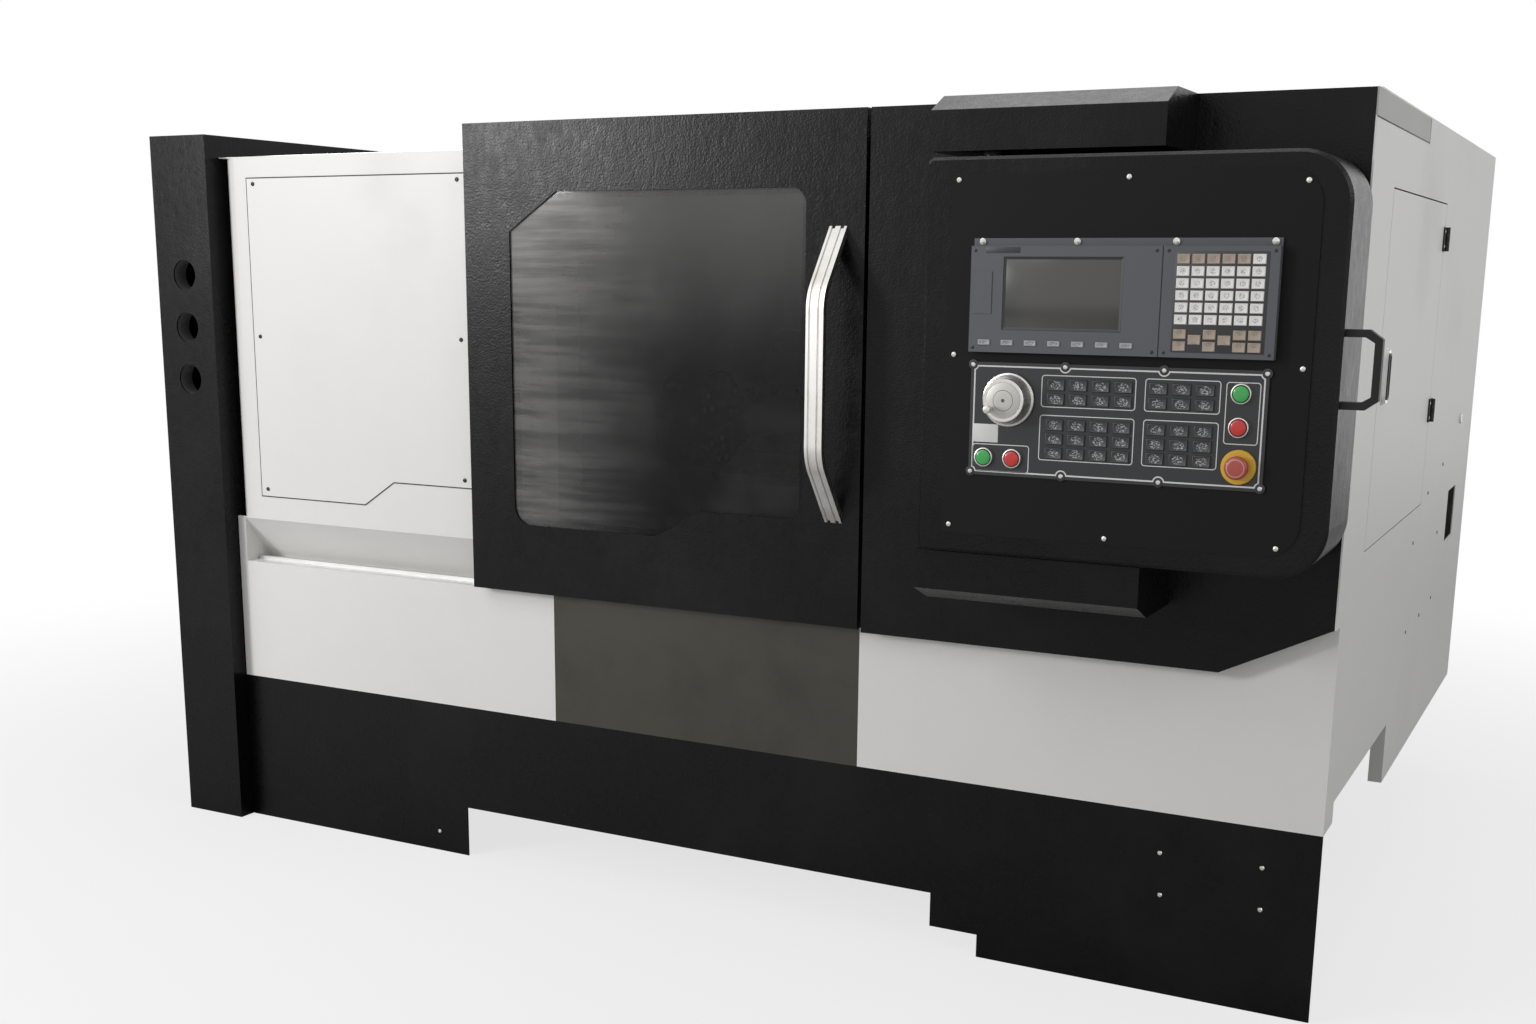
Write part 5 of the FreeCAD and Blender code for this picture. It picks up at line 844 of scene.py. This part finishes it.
# ------------------------------------------------------------------ side fittings
# On the right side: black hinge leaves and knuckles on bright screws, a chromed latch
# with a zinc seat and a black wire pull, dark seams round the grey cap, a lock barrel,
# and black plugs in the cover's spare holes.
chrome = Finish("bright_chrome", (0.78, 0.78, 0.78), 0.12, 1.0)
chrome.wear(0.10, 0.10, 30.0)
paint(chrome, "hatch_latch")

FACING_RIGHT = (0, math.radians(90), 0)

side_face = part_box("side_cover")[1][0]
hinge_low, hinge_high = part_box("hatch_hinges")
leaf_front, leaf_back, leaf_half, pin_y = 0.1795, 0.2034, 0.0278, 0.2075
hatch_screw_y, cover_screw_y, screw_off = 0.190, 0.2245, 0.017
hinge_middles = [hinge_low[2] + 0.0275, hinge_high[2] - 0.0275]
for i, z in enumerate(hinge_middles):
    leaf = slab((side_face - 0.0004, leaf_front, z - leaf_half),
                (side_face + 0.0034, leaf_back, z + leaf_half), 0.0008)
    fit(leaf, f"hinge_leaf_{i + 1}", moulded, "hatch")
    knuckle = turned([(0.0061, -0.0088), (0.0062, -0.0084), (0.0062, 0.0084), (0.0061, 0.0088)],
                     24, (0, 0, 0))
    knuckle.location += Vector((side_face + 0.006, pin_y, z))
    fit(knuckle, f"hinge_knuckle_{i + 1}", moulded, "hatch")
countersunk = turned([(0.0036, 0.0), (0.0036, 0.0006), (0.0030, 0.0012), (0.0014, 0.0013),
                      (0.0012, 0.0004)], 18, FACING_RIGHT)
heights = [z + off for z in hinge_middles for off in (-screw_off, screw_off)]
fixed_screw = duplicate(countersunk)
fit(repeat(countersunk, [(side_face + 0.0032, hatch_screw_y, z) for z in heights]),
    "hinge_screws", bright_screw, "hatch")
fit(repeat(fixed_screw, [(side_face + 0.0028, cover_screw_y, z) for z in heights]),
    "fixed_hinge_screws", bright_screw, "machine")

latch_low, latch_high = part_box("hatch_latch")
seat_rim = 0.0030
seat = slab((side_face - 0.0006, latch_low[1] - seat_rim, latch_low[2] - seat_rim),
            (side_face + 0.0010, latch_high[1] + seat_rim, latch_high[2] + seat_rim), 0.0006)
fit(seat, "latch_seat", zinc, "hatch")
pull_wire = begin(bpy.ops.mesh.primitive_plane_add, size=1, rotation=FACING_RIGHT,
                  location=(latch_high[0] - 0.0004, (latch_low[1] + latch_high[1]) / 2,
                            (latch_low[2] + latch_high[2]) / 2),
                  scale=(latch_high[2] - latch_low[2] - 0.014,
                         latch_high[1] - latch_low[1] - 0.010, 1))
bpy.ops.mesh.bevel(offset=0.012, segments=8, affect="VERTICES")
ring(0.0036, (0.0026, 0, 0))
fit(pull_wire, "latch_pull", black_screw, "hatch_lever")

cap_low, cap_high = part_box("side_cap")
seam_width = 0.0026
for name, low, high in (
        ("under", (cap_low[1], cap_low[2] - seam_width), (cap_high[1] + seam_width, cap_low[2])),
        ("behind", (cap_high[1], cap_low[2] - 0.0002), (cap_high[1] + seam_width, cap_high[2]))):
    seam = slab((side_face - 0.0008, *low), (side_face + 0.0004, *high), 0.0002)
    fit(seam, f"cap_seam_{name}", rubber_and_gap_shade, "machine")

barrel = turned([(0.0118, 0.0), (0.0118, 0.0012), (0.0108, 0.0020), (0.0074, 0.0020),
                 (0.0070, 0.0008), (0.0030, 0.0008)], 28, FACING_RIGHT)
lock_y, lock_z = 0.914, 1.084
barrel.location += Vector((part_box("rear_enclosure")[1][0] - 0.0004, lock_y, lock_z))
fit(barrel, "lock_barrel", chrome, "machine")

plug = turned([(0.0046, -0.0004), (0.0046, 0.0006), (0.0036, 0.0014)], 14, FACING_RIGHT)
fit(repeat(plug, [(side_face, y, z) for y, z in (
    (0.600, 0.986), (0.329, 0.939), (0.605, 0.805), (0.593, 0.631), (0.365, 0.622),
    (0.118, 0.841), (0.124, 0.621))]), "side_plugs", rubber_and_gap_shade, "machine")


# ------------------------------------------------------------------ skirt screws
# Bright pan-head screws in the front skirt: four hold its right foot to the base, and
# one its left end.
skirt_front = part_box("front_skirt")[0][1]
skirt_screw = turned([(0.0050, -0.0004), (0.0050, 0.0008), (0.0040, 0.0020), (0.0024, 0.0024),
                      (0.0022, 0.0010)], 16)
fit(repeat(skirt_screw, [(x, skirt_front, z) for x, z in (
    (-0.7095, 0.051), (1.1475, 0.305), (1.3535, 0.308), (1.3555, 0.220), (1.1525, 0.215))]),
    "skirt_screws", bright_screw, "machine")


# ------------------------------------------------------------------ chuck
# Black steel three-jaw power chuck. Socket screws hold it to the spindle between its
# jaws, and two more hold each stepped jaw to its slide.
chuck_low, chuck_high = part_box("chuck_body")
axis_y, axis_z = (chuck_low[1] + chuck_high[1]) / 2, (chuck_low[2] + chuck_high[2]) / 2
chuck_face = chuck_high[0]


def round_axis(turn, radius):
    """Where a point at this radius round the spindle lies, turned back from straight up."""
    return (axis_y - math.sin(math.radians(turn)) * radius,
            axis_z + math.cos(math.radians(turn)) * radius)


socket_head = turned([(0.0068, -0.0006), (0.0068, 0.0050), (0.0060, 0.0058), (0.0036, 0.0058),
                      (0.0034, 0.0020)], 24, FACING_RIGHT)
jaw_screws = [duplicate(socket_head) for _ in range(3)]
outer_circle, inner_circle = 0.100, 0.064
circles = [(60 + 120 * i + off, radius) for off, radius in (
    (-12, outer_circle), (12, outer_circle), (0, inner_circle)) for i in range(3)]
fit(repeat(socket_head, [(chuck_face, *round_axis(turn, radius)) for turn, radius in circles]),
    "chuck_screws", bright_screw, "main_spindle")
jaw_steps = ((0.0190, 0.1062), (0.0380, 0.0782))
for i, jaw_screw in enumerate(jaw_screws):
    fit(repeat(jaw_screw, [(chuck_face + rise, *round_axis(120 * i, radius))
                           for rise, radius in jaw_steps]),
        f"jaw_{i + 1}_screws", bright_screw, f"jaw_{i + 1}")


# ------------------------------------------------------------------ turret
# Eight-station tool turret. A domed cap and eight bolts close its front; each holder
# has two clamp screws, and each tool a gold-coated cutting tip.
FACING_LEFT = (0, math.radians(-90), 0)
tools_low, tools_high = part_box("turret_tools")
turret_y, turret_z = (tools_low[1] + tools_high[1]) / 2, (tools_low[2] + tools_high[2]) / 2
hub_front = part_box("turret_disc")[0][0]
gold = Finish("coated_carbide", (0.62, 0.42, 0.13), 0.28, 1.0)
gold.wear(0.24, 0.14, 300.0, 2.0)


def round_turret(turn, radius, aside=0.0):
    """Where a point at this radius round the turret's axis lies, with a shift sideways."""
    sine, cosine = math.sin(math.radians(turn)), math.cos(math.radians(turn))
    return (turret_y + sine * radius + cosine * aside, turret_z + cosine * radius - sine * aside)


turret_cap = turned([(0.0560, -0.0004), (0.0560, 0.0030), (0.0520, 0.0070), (0.0380, 0.0105),
                     (0.0180, 0.0120), (0.0120, 0.0120), (0.0110, 0.0060)], 48, FACING_LEFT)
turret_cap.location += Vector((hub_front, turret_y, turret_z))
fit(turret_cap, "turret_cap", ground, "turret")
bolt_circle, clamp_circle, clamp_aside, tip_circle = 0.105, 0.1725, 0.024, 0.1968
disc_bolt = turned([(0.0078, -0.0006), (0.0078, 0.0058), (0.0070, 0.0068), (0.0042, 0.0068),
                    (0.0040, 0.0024)], 24, FACING_LEFT)
fit(repeat(disc_bolt, [(hub_front + 0.012, *round_turret(22.5 + 45 * i, bolt_circle))
                       for i in range(8)]), "turret_bolts", black_screw, "turret")
clamp_screw = turned([(0.0052, -0.0006), (0.0052, 0.0030), (0.0046, 0.0036), (0.0028, 0.0036),
                      (0.0026, 0.0010)], 20, FACING_LEFT)
fit(repeat(clamp_screw, [(tools_low[0], *round_turret(45 * i, clamp_circle, aside))
                         for i in range(8) for aside in (-clamp_aside, clamp_aside)]),
    "clamp_screws", bright_screw, "turret")
tip = turned([(0.0070, -0.0010), (0.0064, 0.0036), (0.0024, 0.0036), (0.0022, 0.0020)], 4,
             FACING_LEFT)
fit(repeat(tip, [(tools_low[0], *round_turret(45 * i, tip_circle)) for i in range(8)]),
    "cutting_tips", gold, "turret", 10)


# ------------------------------------------------------------------ guideways
# Ground steel rails on the slanted bed: their screw holes are closed by brass caps,
# and black rubber wipers on the carriage and the tailstock keep chips out.
SLOPE = (math.radians(45), 0, 0)
uphill, off_bed = Vector((0, 1, 1)).normalized(), Vector((0, -1, 1)).normalized()
spindle_line = Vector((0, axis_y, axis_z))
rail_roof = off_bed * -0.220
saddle_rails, tail_rails = (0.130, 0.500), (-0.190, 0.020)
brass = Finish("brass_cap", (0.46, 0.36, 0.16), 0.36, 1.0)
brass.wear(0.32, 0.14, 200.0)
rail_cap = turned([(0.0078, -0.0004), (0.0078, 0.0001), (0.0072, 0.0003)], 20, SLOPE)
first_cap, cap_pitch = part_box("z_rails")[0][0] + 0.05, 0.08
fit(repeat(rail_cap, [Vector((first_cap + cap_pitch * i, 0, 0)) + spindle_line + rail_roof
                      + uphill * along for i in range(18) for along in tail_rails + saddle_rails]),
    "rail_caps", brass, "machine")
wiper_rise, wiper_size = 0.0125, (0.006, 0.058, 0.023)
for slider, body, rails in (("carriage", "saddle", saddle_rails),
                            ("tailstock", "tail_slide", tail_rails)):
    low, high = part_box(slider)
    for side, x in (("left", low[0] - wiper_size[0] / 2), ("right", high[0] + wiper_size[0] / 2)):
        for i, along in enumerate(rails):
            middle = Vector((x, 0, 0)) + spindle_line + rail_roof + uphill * along
            wiper = begin(bpy.ops.mesh.primitive_cube_add, size=1, rotation=SLOPE,
                          location=middle + off_bed * wiper_rise, scale=wiper_size)
            bpy.ops.mesh.bevel(offset=0.0015, segments=2, affect="EDGES")
            fit(wiper, f"{slider}_wiper_{side}_{i + 1}", rubber_and_gap_shade, body)


# ------------------------------------------------------------------ motor fittings
# A terminal box with a cable gland stands on the spindle motor, cast and enamelled
# as the motor is.
motor_low, motor_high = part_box("spindle_motor")
box_x, box_y = (motor_low[0] + motor_high[0]) / 2 - 0.06, (motor_low[1] + motor_high[1]) / 2
half_length, half_depth, box_height = 0.060, 0.045, 0.060
terminal_box = slab((box_x - half_length, box_y - half_depth, motor_high[2] - 0.002),
                    (box_x + half_length, box_y + half_depth, motor_high[2] + box_height),
                    0.006, 3)
fit(terminal_box, "terminal_box", motor_enamel, "machine")
gland = turned([(0.0140, -0.0010), (0.0140, 0.0080), (0.0120, 0.0090), (0.0120, 0.0200),
                (0.0105, 0.0230), (0.0070, 0.0235), (0.0068, 0.0100)], 12, FACING_RIGHT)
gland.location += Vector((box_x + half_length, box_y, motor_high[2] + box_height / 2))
fit(gland, "cable_gland", zinc, "machine")


# ------------------------------------------------------------------ studio
# A pale floor and a white surround, lit by four soft lamps. The floor glows for the
# camera, so that it runs into white and keeps the shadow. Mirrored in metal and glass it
# glows only from 5 m out, so that black parts near it stay black.
def kinds_of_ray(tree, *kinds):
    """A socket that is 1 for the kinds of ray that are named."""
    path = tree.nodes.new("ShaderNodeLightPath")
    joined = path.outputs[kinds[0]]
    for kind in kinds[1:]:
        either = tree.nodes.new("ShaderNodeMath")
        either.operation = "MAXIMUM"
        tree.links.new(joined, either.inputs[0])
        tree.links.new(path.outputs[kind], either.inputs[1])
        joined = either.outputs[0]
    return joined


def mix_shaders(tree, share, first, second, end):
    """Mix two shaders by the second one's share, and end the tree with the result."""
    mixer = tree.nodes.new("ShaderNodeMixShader")
    for i, socket in enumerate((share, first, second)):
        tree.links.new(socket, mixer.inputs[i])
    tree.links.new(mixer.outputs[0], tree.nodes[end].inputs["Surface"])


bpy.ops.object.select_all(action="DESELECT")
bpy.ops.mesh.primitive_plane_add(size=60)
floor = bpy.context.object
floor.name = "floor"

floor_finish = Finish("studio_floor", (0.62, 0.62, 0.62), 0.75)
tree = floor_finish.tree
seen = Value(floor_finish, kinds_of_ray(tree, "Is Camera Ray"))
mirrored = Value(floor_finish, kinds_of_ray(tree, "Is Glossy Ray", "Is Transmission Ray"))
spread = floor_finish.reach()
to_camera = floor_finish.between(spread, 1.8, 4.6, 0.74, 1.0)
to_mirrors = floor_finish.between(spread, 5.0, 14.0)
glow = tree.nodes.new("ShaderNodeEmission")
mix_shaders(tree, (seen * to_camera + mirrored * to_mirrors).socket,
            floor_finish.shader.outputs[0], glow.outputs[0], "Material Output")
floor.data.materials.append(floor_finish.material)

world = bpy.data.worlds.new("studio")
bpy.context.scene.world = world
world.use_nodes = True
tree = world.node_tree
lighting = tree.nodes["Background"]
surround = tree.nodes.new("ShaderNodeBackground")
for background, colour, strength in ((lighting, (0.97, 0.98, 1.0, 1), 0.32),
                                     (surround, (1, 1, 1, 1), 1.0)):
    background.inputs["Color"].default_value = colour
    background.inputs["Strength"].default_value = strength
mix_shaders(tree, kinds_of_ray(tree, "Is Camera Ray", "Is Transmission Ray", "Is Glossy Ray"),
            lighting.outputs[0], surround.outputs[0], "World Output")

lamps_aim_at = Vector((0.1, 0, 0.9))
for lamp_name, place, width, power in (
        ("key_lamp", (-2.0, -4.5, 4.4), 2.8, 56),
        ("window_lamp", (-3.5, -4.9, 2.35), 1.0, 112),
        ("fill_lamp", (5.2, -2.0, 3.4), 2.2, 34),
        ("top_lamp", (0.3, 0.6, 5.2), 4.0, 90)):
    lamp = bpy.data.lights.new(lamp_name, "AREA")
    lamp.shape = "SQUARE"
    lamp.size = width
    lamp.energy = power
    holder = bpy.data.objects.new(lamp_name, lamp)
    bpy.context.scene.collection.objects.link(holder)
    holder.location = place
    aim = lamps_aim_at - Vector(place)
    holder.rotation_euler = aim.to_track_quat("-Z", "Y").to_euler()
